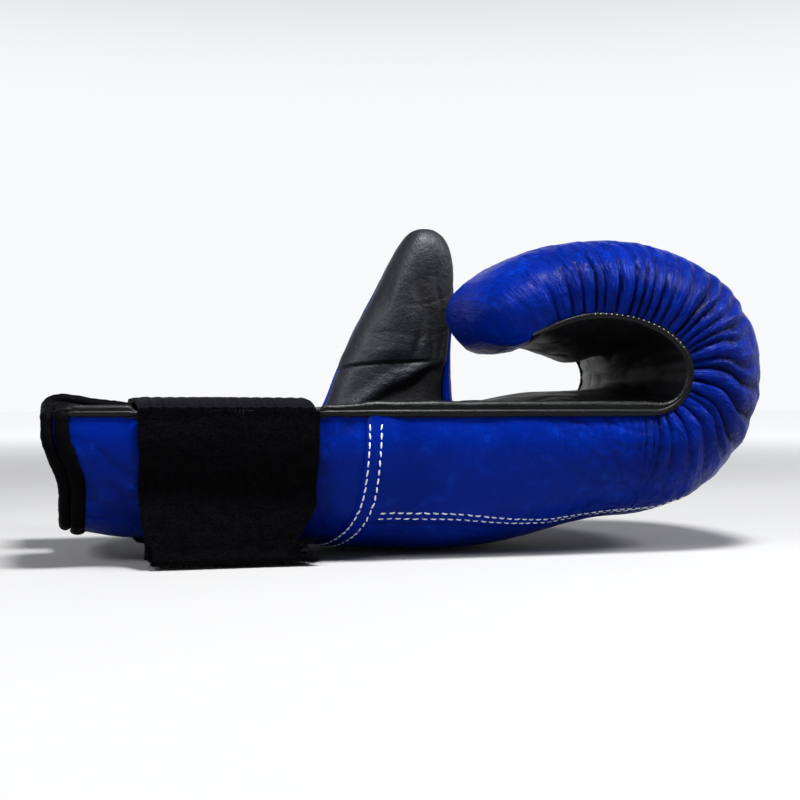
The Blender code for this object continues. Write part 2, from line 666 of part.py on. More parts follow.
def build_thumb(thumb):
    last = len(THUMB_ROWS) - 1
    back = (0, THUMB_BACK_COLUMNS)
    front = (THUMB_BACK_COLUMNS, THUMB_COUNT)
    skin_out = thumb_point(0, 0)
    skin_in = thumb_point(LEATHER, LEATHER)
    cap = block((last - 1, last), (0, THUMB_COUNT))
    thick_sheet("thumb_front_panel", block((1, last - 1), front) | cap, skin_out, skin_in,
                BLACK_LEATHER, thumb)
    thick_sheet("thumb_base_panel", block((0, 1), front), skin_out, skin_in, BLACK_LEATHER, thumb)
    thick_sheet("thumb_back_panel", block((0, last - 1), back), skin_out, skin_in, BLUE_LEATHER,
                thumb)
    foam_out = thumb_point(LEATHER + GAP, LEATHER + GAP)
    foam_in = thumb_point(LEATHER + GAP + 0.2 * MM, LEATHER + GAP + THUMB_FOAM)
    thick_sheet("thumb_foam", block((0, last - 2), (1, THUMB_BACK_COLUMNS - 1)), foam_out, foam_in,
                FOAM_GREY, thumb)
    extra = 2 * GAP + LEATHER
    lining_out = thumb_point(extra + 0.2 * MM, extra + THUMB_FOAM)
    lining_in = thumb_point(extra + 0.2 * MM + LINING, extra + THUMB_FOAM + LINING)
    thick_sheet("thumb_lining", block((0, last), (0, THUMB_COUNT)), lining_out, lining_in,
                LINING_CLOTH, thumb)


def main():
    clear_scene()
    crown = back_point(S_SPLIT, 0.5, LEATHER_OUT)
    fingers = joint_empty("finger_pivot", crown)
    thumb = joint_empty("thumb_pivot", THUMB_HINGE)
    top_edge = back_point(ROWS[4], 0.02, even_layer(-GAP - STRAP))
    strap = joint_empty("strap_pivot", top_edge)
    tail = joint_empty("tail_pivot", (sum(TAIL_X) / 2, STRAP_FOOT_Y - GAP, TAIL))
    build_leather(fingers)
    build_padding(fingers)
    build_piping(fingers)
    build_binding()
    build_stitching()
    build_wrist(strap, tail)
    build_thumb(thumb)
    bpy.context.view_layer.update()


main()
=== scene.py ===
"""Looks of the padded bag mitt: skins, piping, stitches, strap and materials round the CAD frame.

Every soft piece is built on the same surface as the CAD solids. That surface is addressed by s,
the distance along the palm seam from the cuff's rim to the fingertips, and by a share: over the
back from 0 at the little-finger seam to 1 at the index seam, and across the palm from 1 at the
index seam to -1 at the little-finger seam. Reliefs such as gathers and seams move the skins
along their own normals.
"""
import math

import bmesh
import bpy
import numpy as np
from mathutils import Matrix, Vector


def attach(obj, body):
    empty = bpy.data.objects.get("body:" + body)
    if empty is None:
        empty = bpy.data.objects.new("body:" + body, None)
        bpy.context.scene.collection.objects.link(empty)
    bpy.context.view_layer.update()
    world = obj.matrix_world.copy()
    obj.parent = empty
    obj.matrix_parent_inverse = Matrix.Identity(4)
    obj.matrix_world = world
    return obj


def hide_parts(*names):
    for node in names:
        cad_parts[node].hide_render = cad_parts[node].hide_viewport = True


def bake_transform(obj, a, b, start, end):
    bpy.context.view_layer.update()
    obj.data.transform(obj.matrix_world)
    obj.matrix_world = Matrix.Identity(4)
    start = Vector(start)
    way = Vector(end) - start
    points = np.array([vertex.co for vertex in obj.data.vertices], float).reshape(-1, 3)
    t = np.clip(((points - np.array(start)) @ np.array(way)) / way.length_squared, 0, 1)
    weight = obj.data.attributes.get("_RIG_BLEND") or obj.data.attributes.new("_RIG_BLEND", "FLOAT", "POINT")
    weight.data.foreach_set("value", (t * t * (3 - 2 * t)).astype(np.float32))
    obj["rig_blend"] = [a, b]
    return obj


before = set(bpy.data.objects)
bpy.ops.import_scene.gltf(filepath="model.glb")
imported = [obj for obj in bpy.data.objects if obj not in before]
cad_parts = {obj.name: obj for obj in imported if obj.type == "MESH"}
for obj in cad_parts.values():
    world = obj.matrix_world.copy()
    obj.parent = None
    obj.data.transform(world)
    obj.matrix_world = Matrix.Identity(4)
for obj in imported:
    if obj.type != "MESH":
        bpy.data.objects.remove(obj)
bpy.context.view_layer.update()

MM = 0.001

# Dimensions shared with the CAD part. Lists hold (station in mm, value in mm).
PATH_LEAD = 20 * MM            # palm seam drawn on past the rim
RIM_X = -134 * MM
PALM_Z = 51.5 * MM
CURL_X = 83 * MM
CURL_R = 15.5 * MM
TOP_A, TOP_B = 35 * MM, 21 * MM
BEND_R = 42 * MM
BEND_ANGLE = math.radians(42)
TIP_RUN = 6.2 * MM
NOSE = 16 * MM
SECTION_POWER = 2.7
NOSE_POWER = 2.5
RIM_SLANT = 6 * MM
RIM_SLANT_END = 60 * MM
RIM_TURN = (0.08, 0.36)
SEAM_TUCK = 0.05
SEAM_TUCK_DEPTH = 7 * MM
BINDING_R = 2.2 * MM
RIM_S = 4.7 * MM
PIPING_R = 2.1 * MM
STRAP_S = (31 * MM, 92 * MM)
SLIT_END = 46 * MM
SLIT_HALF = 5.2 * MM
SLIT_FLARE = 5 * MM
CUFF_SEAM = 112.5 * MM
CUFF_SEAM_LEAN = (4.5 * MM, 9.5 * MM)
BAND_ARCH = 3.4 * MM
THUMB_BASE_Z = 52.2 * MM
THUMB_TIP_Z = 130 * MM
THUMB_SEAM_Z = 71 * MM
THUMB_DOME = 19 * MM
THUMB_POWER = 2.5
THUMB_HALF_Y = 13.2 * MM
THUMB_Y = 44.6 * MM
THUMB_LEAN_Y = 2 * MM
STRAP_FOOT_Y = -51.2 * MM
STRAP_LEAVES = 0.55            # share of the strap's run that lies on the skin
TAIL_X = (-101.5 * MM, -46 * MM)
TAIL_Y = (-57 * MM, -31 * MM)
HOOK_Y = (-46.5 * MM, -33 * MM)
HEIGHTS = [(0, 38.8), (25, 44.8), (60, 47.2), (90, 47.6), (112, 51.3), (130, 53), (158, 51.9),
           (178, 48.2), (196, 43.6), (217, 41), (230, 41.9), (241.3, 43.9), (263.7, 36.6),
           (286, 30), (304, 27), (320, 24.6)]
WIDTHS = [(0, 44), (25, 45.5), (60, 47), (90, 50), (112, 52.5), (130, 53.5), (160, 54), (240, 54),
          (285, 53), (320, 50)]
FOAM_BACK = [(0, 3.4), (40, 5), (95, 6), (112, 14), (135, 19), (200, 18), (240, 16), (285, 11.5),
             (320, 10.5)]
PALM_ARCH = [(0, 6), (18, 3), (32, 1), (90, 1), (112, 3), (140, 2.5), (190, 1.5), (216, 3),
             (240, 7), (262, 6.5), (285, 4), (305, 1), (316, 0)]
FOAM_SIDE = [(0, 3.4), (40, 4.5), (95, 5.5), (112, 8), (135, 10), (240, 9.5), (285, 8.5), (320, 8)]
INDEX_TAPER = (272 * MM, 305 * MM)
INDEX_HALF = 27 * MM
# The thumb's outline from the front: height and X, in mm
THUMB_LEFT = [(52, -22), (62, -18.8), (82, -10.6), (104, 1.4), (127, 11.2), (131, 12)]
THUMB_RIGHT = [(52, 33.6), (80, 33.9), (105, 35), (120, 34.3), (131, 33)]

# Reliefs of the leather
SKIN = 1.2 * MM                # thickness of the leather
GATHER_START = 201 * MM        # first and last gather, along the palm seam
GATHER_END = 312 * MM
GATHER_PITCH = 2.9 * MM
GATHER_DEPTH = 1.7 * MM
CURL_START = 205 * MM          # from here on the rows lie closer together
BELOW_ROLL = 70 * MM           # height that parts the palm from the fingers over it
FOAM_OUT = 1.75 * MM           # the foam's face below the leather's
FOAM_IN = 1.4 * MM             # and its other face inside the CAD foam's
STITCH = (3.2 * MM, 2.3 * MM, 0.27 * MM)        # pitch, length and radius of a stitch
FINE_STITCH = (2.1 * MM, 0.4 * MM, 0.12 * MM)   # the same at the gathers
THREAD_LIFT = 0.12 * MM
OVERLAP = 3.4 * MM             # how far the hand's skin laps over the cuff seam
CUFF_ROWS = 2.0 * MM           # from the cuff seam to either row of stitches
SIDE_ROWS = 0.0072             # the same at the side seams, as a share of the outline
KNUCKLE = 15 * MM              # half the length of skin that bends with the knuckle


def along(stations, s):
    """Smooth values at s through (s, value) stations given in millimetres."""
    xs = np.array([station[0] for station in stations], float) * MM
    ys = np.array([station[1] for station in stations], float) * MM
    slopes = np.gradient(ys, xs)
    s = np.clip(s, xs[0], xs[-1])
    i = np.clip(np.searchsorted(xs, s, side="right") - 1, 0, len(xs) - 2)
    h = xs[i + 1] - xs[i]
    t = (s - xs[i]) / h
    value = (1 + 2 * t) * (1 - t) ** 2 * ys[i] + t * t * (3 - 2 * t) * ys[i + 1]
    return value + t * (1 - t) ** 2 * h * slopes[i] - t * t * (1 - t) * h * slopes[i + 1]


def smoothstep(low, high, value):
    t = np.clip((value - low) / (high - low), 0.0, 1.0)
    return t * t * (3 - 2 * t)


def window(low, rise, fall, high, value):
    """1 between rise and fall, and smoothly down to 0 at low and at high."""
    return smoothstep(low, rise, value) * (1 - smoothstep(fall, high, value))


def bell(value, width):
    return np.exp(-(value / width) ** 2)


def cells(rows, columns):
    """Row and column values of every point of a grid."""
    return np.meshgrid(rows, columns, indexing="ij")


def unit(vectors):
    return vectors / np.linalg.norm(vectors, axis=-1, keepdims=True)


def run_of(path):
    """Distance along a path at each of its points, from 0."""
    return np.concatenate([[0.0], np.cumsum(np.linalg.norm(np.diff(path, axis=0), axis=1))])


def pushed(points, normals, height):
    """Points of a grid moved along their normals by one height each."""
    return points + normals * height[..., None]


def make_seam_path():
    """The palm seam in the XZ plane: straight palm, two quarters of the curl, bent fingertips."""
    points = [(RIM_X - PATH_LEAD, PALM_Z), (CURL_X, PALM_Z)]
    angles = [0.0, 0.0]
    for a in np.linspace(0, math.pi / 2, 60)[1:]:
        points.append((CURL_X + CURL_R * math.sin(a), PALM_Z + CURL_R * (1 - math.cos(a))))
        angles.append(a)
    centre_x = CURL_X + CURL_R - TOP_A
    centre_z = PALM_Z + CURL_R
    for e in np.linspace(0, math.pi / 2, 90)[1:]:
        points.append((centre_x + TOP_A * math.cos(e), centre_z + TOP_B * math.sin(e)))
        angles.append(math.atan2(TOP_B * math.cos(e), -TOP_A * math.sin(e)))
    top_x, top_z = points[-1]
    for a in np.linspace(0, BEND_ANGLE, 40)[1:]:
        points.append((top_x - BEND_R * math.sin(a), top_z - BEND_R * (1 - math.cos(a))))
        angles.append(math.pi + a)
    end_x, end_z = points[-1]
    points.append((end_x + TIP_RUN * math.cos(angles[-1]), end_z + TIP_RUN * math.sin(angles[-1])))
    angles.append(angles[-1])
    points = np.array(points)
    return run_of(points) - PATH_LEAD, points, np.array(angles)


SEAM_S, SEAM_POINTS, SEAM_ANGLES = make_seam_path()
S_CURL = CURL_X - RIM_X
S_RIGHT = S_CURL + CURL_R * math.pi / 2
S_TOP = float(SEAM_S[np.argmax(SEAM_POINTS[:, 1])])
S_END = float(SEAM_S[-1])
S_SPLIT = S_CURL + CURL_R * math.pi / 4
S_WRAP = S_END - 0.6 * NOSE


def seam_frame(s):
    """Seam points, and the directions from them to the outside of the back, in the XZ plane."""
    x = np.interp(s, SEAM_S, SEAM_POINTS[:, 0])
    z = np.interp(s, SEAM_S, SEAM_POINTS[:, 1])
    a = np.interp(s, SEAM_S, SEAM_ANGLES)
    return x, z, np.sin(a), -np.cos(a)


# A layer gives, at s, its offsets from the outer surface at side, back and palm, and at the tips
def even_layer(offset):
    return lambda s: (offset, offset, offset, offset)


def inner_layer(extra, palm):
    def offsets(s):
        tip = float(along(FOAM_BACK, S_END)) + extra
        return along(FOAM_SIDE, s) + extra, along(FOAM_BACK, s) + extra, palm, tip
    return offsets


OUTSIDE = even_layer(0.0)


def section_limits(s, layer):
    """Centre and half width across Y, palm and back depths, of a layer's section at s."""
    side, back, palm, tip = layer(s)
    height = along(HEIGHTS, s) - back
    near = along(WIDTHS, s) - side
    far = near + (INDEX_HALF - side - near) * smoothstep(*INDEX_TAPER, s)
    nose = max(NOSE - 0.6 * tip, 10 * MM)
    q = np.clip((s - (S_END - tip - nose)) / nose, 0.0, 1.0)
    k = (1 - q ** NOSE_POWER) ** (1 / NOSE_POWER)
    middle = palm + 0.45 * (height - palm)
    low = middle - (middle - palm) * k
    high = middle + (height - middle) * k
    return (far - near) / 2, (far + near) / 2 * k, low, high


def outline(s, angles, layer):
    """(y, depth) of a layer's section over the back at angles from 0 to pi."""
    centre, half, low, high = section_limits(s, layer)
    power = 2 / SECTION_POWER
    y = -half * np.sign(np.cos(angles)) * np.abs(np.cos(angles)) ** power
    depth = low + (high - low) * np.abs(np.sin(angles)) ** power
    return centre + y * (1 - SEAM_TUCK * bell(depth - low, SEAM_TUCK_DEPTH)), depth


def place(s, y, depth, floor):
    """World points at a depth below the seam line; the back settles softly on z = floor."""
    x, z, out_x, out_z = seam_frame(s)
    z = z + out_z * depth
    settled = floor + 0.5 * (z - floor + np.sqrt((z - floor) ** 2 + (1.6 * MM) ** 2))
    z = np.where(s < S_RIGHT, settled, z)
    return np.stack([x + out_x * depth, y + 0 * x, z], axis=-1)


def back_grid(s, share, layer):
    """Points of a layer over the back for grids s and share, and the outer outline's length."""
    angles = np.linspace(0, math.pi, 361)
    angle = np.empty_like(s)
    length = np.empty_like(s)
    for row in range(s.shape[0]):
        s_row = min(float(s[row].mean()), S_END - 0.5 * MM)
        y, depth = outline(s_row, angles, OUTSIDE)
        run = run_of(np.stack([y, depth], axis=1))
        angle[row] = np.interp(share[row] * run[-1], run, angles)
        length[row] = run[-1]
    y, depth = outline(s, angle, layer)
    return place(s, y, depth, layer(S_CURL)[1]), length


def plump(s, share):
    """How far the soft palm leather bulges into the curl, fullest towards the index side."""
    even = np.clip(1 - share * share, 0, 1) ** 0.6
    far = smoothstep(-0.35, 0.5, share) * (1 - np.abs(share) ** 7)
    hand = 6.5 * MM * window(150 * MM, 190 * MM, 214 * MM, 238 * MM, s)
    bend = 4.5 * MM * bell(s - 243 * MM, 15 * MM)
    tips = smoothstep(256 * MM, 276 * MM, s)
    tips = tips * (12.5 * MM - 5.5 * MM * smoothstep(292 * MM, 310 * MM, s))
    q = np.clip((s - (S_END - NOSE)) / NOSE, 0.0, 1.0)
    nose = (1 - q ** NOSE_POWER) ** (1 / NOSE_POWER)
    return (hand * even + bend * far + tips * even * (0.8 + 0.2 * share)) * nose


def palm_grid(s, share, layer):
    """Points of a layer across the palm for grids s and share."""
    centre, half, low, _ = section_limits(s, layer)
    arch = along(PALM_ARCH, s) * (1 - share * share) ** 2 + plump(s, share)
    x, z, out_x, out_z = seam_frame(s)
    depth = low - arch
    return np.stack([x + out_x * depth, centre + share * half * (1 - SEAM_TUCK), z + out_z * depth],
                    axis=-1)


def lattice(x, y, seed):
    """Smooth noise from -1 to 1 with one random value on each whole (x, y)."""
    table = np.random.RandomState(seed).uniform(-1, 1, (64, 64))
    xi = np.floor(x).astype(int)
    yi = np.floor(y).astype(int)
    fx = x - xi
    fy = y - yi
    fx = fx * fx * (3 - 2 * fx)
    fy = fy * fy * (3 - 2 * fy)
    a = table[xi % 64, yi % 64] * (1 - fx) + table[(xi + 1) % 64, yi % 64] * fx
    b = table[xi % 64, (yi + 1) % 64] * (1 - fx) + table[(xi + 1) % 64, (yi + 1) % 64] * fx
    return a * (1 - fy) + b * fy


def creases(x, y, seed, sharp=9.0):
    """Thin valleys, 0 to 1, that wander where two noises cross zero."""
    value = lattice(x, y, seed) + 0.5 * lattice(2.1 * x, 2.1 * y, seed + 1)
    return np.exp(-(sharp * value) ** 2)


def grid_normals(points, away_from):
    """Unit normals of a (row, column) grid of points, pointing away from a point for each row."""
    normals = np.cross(np.gradient(points, axis=0), np.gradient(points, axis=1))
    lengths = np.linalg.norm(normals, axis=-1, keepdims=True)
    fallback = points - away_from
    fallback = unit(fallback)
    normals = np.where(lengths > 1e-12, normals / np.maximum(lengths, 1e-12), fallback)
    sign = np.sign((normals * fallback).sum(axis=-1, keepdims=True))
    middle = sign[: max(2, len(sign) // 2)]
    facing = 1.0 if middle.sum() > 0 else -1.0
    return normals * facing


def section_centres(s):
    """A point well inside the section for each s of a grid."""
    centre, _, low, high = section_limits(s, OUTSIDE)
    x, z, out_x, out_z = seam_frame(s)
    depth = 0.5 * (low + high)
    return np.stack([x + out_x * depth, centre, z + out_z * depth], axis=-1)


def gathers(s, arc, seed):
    """Height of the gathers on one side, and painted shade in their valleys. arc is the distance from its
    palm seam.
    """
    rng = np.random.RandomState(seed)
    stations = [GATHER_START]
    while stations[-1] < GATHER_END:
        wide = 1 + 0.5 * smoothstep(256 * MM, 276 * MM, stations[-1])
        stations.append(stations[-1] + GATHER_PITCH * wide * rng.uniform(0.62, 1.4))
    stations = np.array(stations)
    count = len(stations)
    tight = smoothstep(208 * MM, 224 * MM, stations)
    tight = tight * (1 - 0.55 * smoothstep(286 * MM, 304 * MM, stations))
    strength = (0.25 + 0.8 * tight) * rng.uniform(0.55, 1.2, count)
    far = bell(stations - 242 * MM, 30 * MM)
    reach = 15 * MM + (26 * MM + 42 * MM * far) * tight * rng.uniform(0.25, 1.0, count)
    wander = lattice(s / (26 * MM), arc / (23 * MM), seed + 1) * 1.3 * MM
    wander = wander + lattice(s / (8 * MM), arc / (11 * MM), seed + 2) * 0.3 * MM
    slant = smoothstep(3 * MM, 34 * MM, arc) * 2.6 * MM * lattice(s / (45 * MM), 0 * s, seed + 3)
    u = np.interp(s + wander * smoothstep(2 * MM, 24 * MM, arc) + slant, stations, np.arange(count))
    i = np.clip(np.floor(u).astype(int), 0, count - 2)
    f = np.clip(u - i, 0.0, 1.0)

    def fade(k):
        rise = 0.55 + 0.45 * smoothstep(0, 4 * MM, arc)
        return strength[k] * rise * (1 - smoothstep(0.3 * reach[k], reach[k], arc))

    first, second = fade(i), fade(i + 1)
    pitch = stations[i + 1] - stations[i]
    spread = 1 + arc / (20 * MM)
    local = np.clip(pitch * spread, 1 * MM, 9 * MM)
    width = np.clip((0.5 * MM + 0.035 * arc) / local, 0.08, 0.3)
    valley = first * np.exp(-(f / width) ** 1.5) + second * np.exp(-((1 - f) / width) ** 1.5)
    rounded_top = np.abs(np.sin(math.pi * f)) ** 0.7
    swell = (first + second) * 0.5 * rounded_top * np.clip(local / (3.2 * MM), 0.6, 1.4)
    edge = window(GATHER_START, GATHER_START + 7 * MM, GATHER_END - 8 * MM, GATHER_END, s)
    height = GATHER_DEPTH * (0.42 * swell - 0.62 * valley) * edge
    # painted shade in the valleys of the gathers
    painted_shade = np.clip(valley, 0, 1) * edge
    around = smoothstep(206 * MM, 226 * MM, s) * (1 - 0.5 * smoothstep(288 * MM, 316 * MM, s))
    second_u = s / (2.1 * MM) + 1.3 * lattice(s / (21 * MM), arc / (15 * MM), seed + 4)
    short = lattice(second_u, arc / (19 * MM), seed + 5)
    ridge = (1 - np.abs(lattice(second_u * 1.13 + 7, arc / (26 * MM), seed + 8))) ** 3
    beside = window(4 * MM, 16 * MM, 34 * MM, 66 * MM, arc)
    height = height + (0.45 * short + 0.55 * (ridge - 0.4)) * MM * beside * around
    painted_shade = painted_shade + 0.3 * np.clip(-short - 0.25, 0, 1) * beside * around
    fine = creases(s / (2.3 * MM), arc / (12 * MM), seed + 6, 6.0)
    fine = fine * (0.12 + 0.88 * around) * (1 - smoothstep(26 * MM, 60 * MM, arc))
    height = height - 0.24 * MM * fine
    return height, painted_shade + 0.4 * fine


def lean(share):
    """How far the cuff seam leaves its station towards the rim, over the back."""
    towards_back = 1 - np.abs(2 * share - 1)
    bow = CUFF_SEAM_LEAN[0] * towards_back ** 0.8
    return -bow - CUFF_SEAM_LEAN[1] * smoothstep(0.3, 0.9, towards_back)


def rim_slant(s, share):
    towards_back = 1 - np.abs(2 * share - 1)
    slant = RIM_SLANT * np.clip(1 - s / RIM_SLANT_END, 0, 1)
    return slant * smoothstep(*RIM_TURN, towards_back)


def side_seam(s):
    return 0.215 + 0.09 * smoothstep(CUFF_SEAM + 20 * MM, S_CURL, s)


def slit_half(s):
    """Half width of the palm's wrist slit, with a round closed end."""
    half = SLIT_HALF + SLIT_FLARE * np.clip(1 - s / SLIT_END, 0, None)
    turn = np.clip((s - (SLIT_END - SLIT_HALF)) / SLIT_HALF, 0, 1)
    return half * np.sqrt(1 - turn ** 2)


# Meshes
def set_attribute(mesh, name, values):
    attribute = mesh.attributes.get(name) or mesh.attributes.new(name, "FLOAT", "POINT")
    attribute.data.foreach_set("value", np.asarray(values, np.float32).ravel())


def get_attribute(mesh, name):
    values = np.zeros(len(mesh.vertices), np.float32)
    mesh.attributes[name].data.foreach_get("value", values)
    return values.astype(float)


def add_piece(name, points, faces, material, nodes, attributes=None, weld=0.0, cut=True):
    """Mesh object with its material, hiding the CAD nodes that it stands for."""
    mesh = bpy.data.meshes.new(name)
    mesh.from_pydata(np.asarray(points, float).reshape(-1, 3).tolist(), [], faces)
    for key, values in (attributes or {}).items():
        set_attribute(mesh, key, values)
    work = bmesh.new()
    work.from_mesh(mesh)
    if weld > 0:
        bmesh.ops.remove_doubles(work, verts=work.verts, dist=weld)
        bmesh.ops.dissolve_degenerate(work, edges=work.edges, dist=weld / 2)
    loose = [vertex for vertex in work.verts if not vertex.link_faces]
    bmesh.ops.delete(work, geom=loose, context="VERTS")
    bmesh.ops.recalc_face_normals(work, faces=work.faces)
    work.to_mesh(mesh)
    work.free()
    mesh.shade_smooth()
    if cut:
        mesh.set_sharp_from_angle(angle=math.radians(62))
    mesh.materials.append(material)
    item = bpy.data.objects.new(name, mesh)
    bpy.context.scene.collection.objects.link(item)
    if nodes:
        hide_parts(*nodes)
    return item


def shell(outer, inner, keep=None, ring=False):
    """Points and faces of a closed solid between two (row, column) grids of points.

    keep says which cells exist. With ring the last column joins the first. Every free edge gets
    a wall.
    """
    rows, columns = outer.shape[:2]
    count = rows * columns
    spans = columns if ring else columns - 1
    quads = []
    uses = {}
    for r in range(rows - 1):
        for c in range(spans):
            if keep is not None and not keep[r, c]:
                continue
            n = (c + 1) % columns
            quad = (r * columns + c, (r + 1) * columns + c, (r + 1) * columns + n, r * columns + n)
            quads.append(quad)
            for a, b in zip(quad, quad[1:] + quad[:1]):
                uses[(a, b)] = True
    faces = list(quads)
    faces += [tuple(count + vertex for vertex in reversed(quad)) for quad in quads]
    faces += [(b, a, count + a, count + b) for a, b in uses if (b, a) not in uses]
    return np.concatenate([outer.reshape(-1, 3), inner.reshape(-1, 3)]), faces


def twice(values):
    """The same values for the outer and for the inner points of a shell."""
    return np.concatenate([np.ravel(values), np.ravel(values)])


def joined(*meshes):
    """Points and faces of several meshes in one."""
    points, faces, start = [], [], 0
    for more_points, more_faces in meshes:
        points.append(more_points)
        faces += [tuple(start + vertex for vertex in face) for face in more_faces]
        start += len(more_points)
    return np.concatenate(points), faces


def ride_knuckle(item):
    """Bends a piece at the knuckle, by the distance of its points along the palm seam.

    So the weights that it stores are written over here, from the stations.
    """
    x, z, out_x, out_z = seam_frame(S_SPLIT)
    middle = Vector((x + 0.02 * out_x, 0, z + 0.02 * out_z))
    across = Vector((-out_z, 0, out_x)) * KNUCKLE
    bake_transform(item, "hand", "fingers", middle - across, middle + across)
    station = get_attribute(item.data, "station")
    share = smoothstep(S_SPLIT - KNUCKLE, S_SPLIT + KNUCKLE, station)
    set_attribute(item.data, "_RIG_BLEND", share)


def sweep(path, radius_across, radius_up, ups, sides=14, closed=False, radii=None):
    """Grid of points of a cord of oval section along a path. ups are its upward directions."""
    path = np.asarray(path, float)
    if closed:
        tangent = np.roll(path, -1, axis=0) - np.roll(path, 1, axis=0)
    else:
        tangent = np.gradient(path, axis=0)
    tangent = unit(tangent)
    ups = np.asarray(ups, float) + 0 * path
    across = unit(np.cross(tangent, ups))
    up = np.cross(across, tangent)
    angle = np.linspace(0, 2 * math.pi, sides, endpoint=False)
    scale = np.ones(len(path)) if radii is None else radii
    ring_a = np.cos(angle)[None, :, None] * across[:, None, :] * radius_across
    ring_b = np.sin(angle)[None, :, None] * up[:, None, :] * radius_up
    return path[:, None, :] + (ring_a + ring_b) * scale[:, None, None]


def tube_faces(rows, sides, closed=False):
    faces = []
    for r in range(rows if closed else rows - 1):
        n = (r + 1) % rows
        for k in range(sides):
            j = (k + 1) % sides
            faces.append((r * sides + k, n * sides + k, n * sides + j, r * sides + j))
    if not closed:
        faces.append(tuple(reversed(range(sides))))
        faces.append(tuple((rows - 1) * sides + k for k in range(sides)))
    return faces


def resample(path, step):
    """The path's points at even steps along it."""
    path = np.asarray(path, float)
    run = run_of(path)
    count = max(3, int(round(run[-1] / step)) + 1)
    at = np.linspace(0, run[-1], count)
    return np.stack([np.interp(at, run, path[:, k]) for k in range(path.shape[1])], axis=1)


def rounded(path, passes, closed=False):
    """The path with its corners cut, passes times."""
    path = np.asarray(path, float)
    for _ in range(passes):
        following = np.roll(path, -1, axis=0)
        near = 0.75 * path + 0.25 * following
        far = 0.25 * path + 0.75 * following
        cut = np.stack([near, far], axis=1).reshape(-1, path.shape[1])
        if closed:
            path = cut
        else:
            path = np.concatenate([path[:1], cut[1:-3], path[-1:]])
    return path


def capsules(path, ups, pitch, length, radius, seed, stations=None):
    """Separate stitches along a path: points, faces and each point's station."""
    rng = np.random.RandomState(seed)
    data = np.concatenate([np.asarray(path, float), np.asarray(ups, float)], axis=1)
    if stations is not None:
        data = np.concatenate([data, np.asarray(stations, float)[:, None]], axis=1)
    run = run_of(data[:, :3])

    def at(distance):
        return np.array([np.interp(distance, run, data[:, k]) for k in range(data.shape[1])])

    points, faces, marks = [], [], []
    profile = [(-1.0, 0.25), (-0.94, 0.7), (-0.7, 1.0), (0.0, 1.08),
               (0.7, 1.0), (0.94, 0.7), (1.0, 0.25)]
    sides = 7
    start = pitch * 0.5
    while start + length < run[-1]:
        begin = at(start)
        end = at(start + length * rng.uniform(0.92, 1.06))
        up = unit(begin[3:6])
        direction = end[:3] - begin[:3]
        span = np.linalg.norm(direction)
        direction = direction / span
        side = unit(np.cross(direction, up))
        up = np.cross(side, direction)
        skew = side * rng.uniform(-0.1, 0.1) * span
        base = len(points)
        for t, scale in profile:
            centre = (begin[:3] + end[:3]) / 2 + direction * span / 2 * t + skew * t
            centre = centre + up * radius * (0.35 - t * t * abs(t))
            for k in range(sides):
                a = 2 * math.pi * k / sides
                points.append(centre + radius * scale * (side * math.cos(a) + up * math.sin(a)))
                marks.append(begin[-1])
        faces += [tuple(base + v for v in face) for face in tube_faces(len(profile), sides)]
        start += pitch * rng.uniform(0.96, 1.04)
    return np.array(points), faces, np.array(marks)


# Materials
def rgb(red, green, blue):
    """Linear colour from the display values, 0 to 255."""
    values = []
    for value in (red, green, blue):
        v = value / 255
        values.append(v / 12.92 if v <= 0.04045 else ((v + 0.055) / 1.055) ** 2.4)
    return (*values, 1.0)


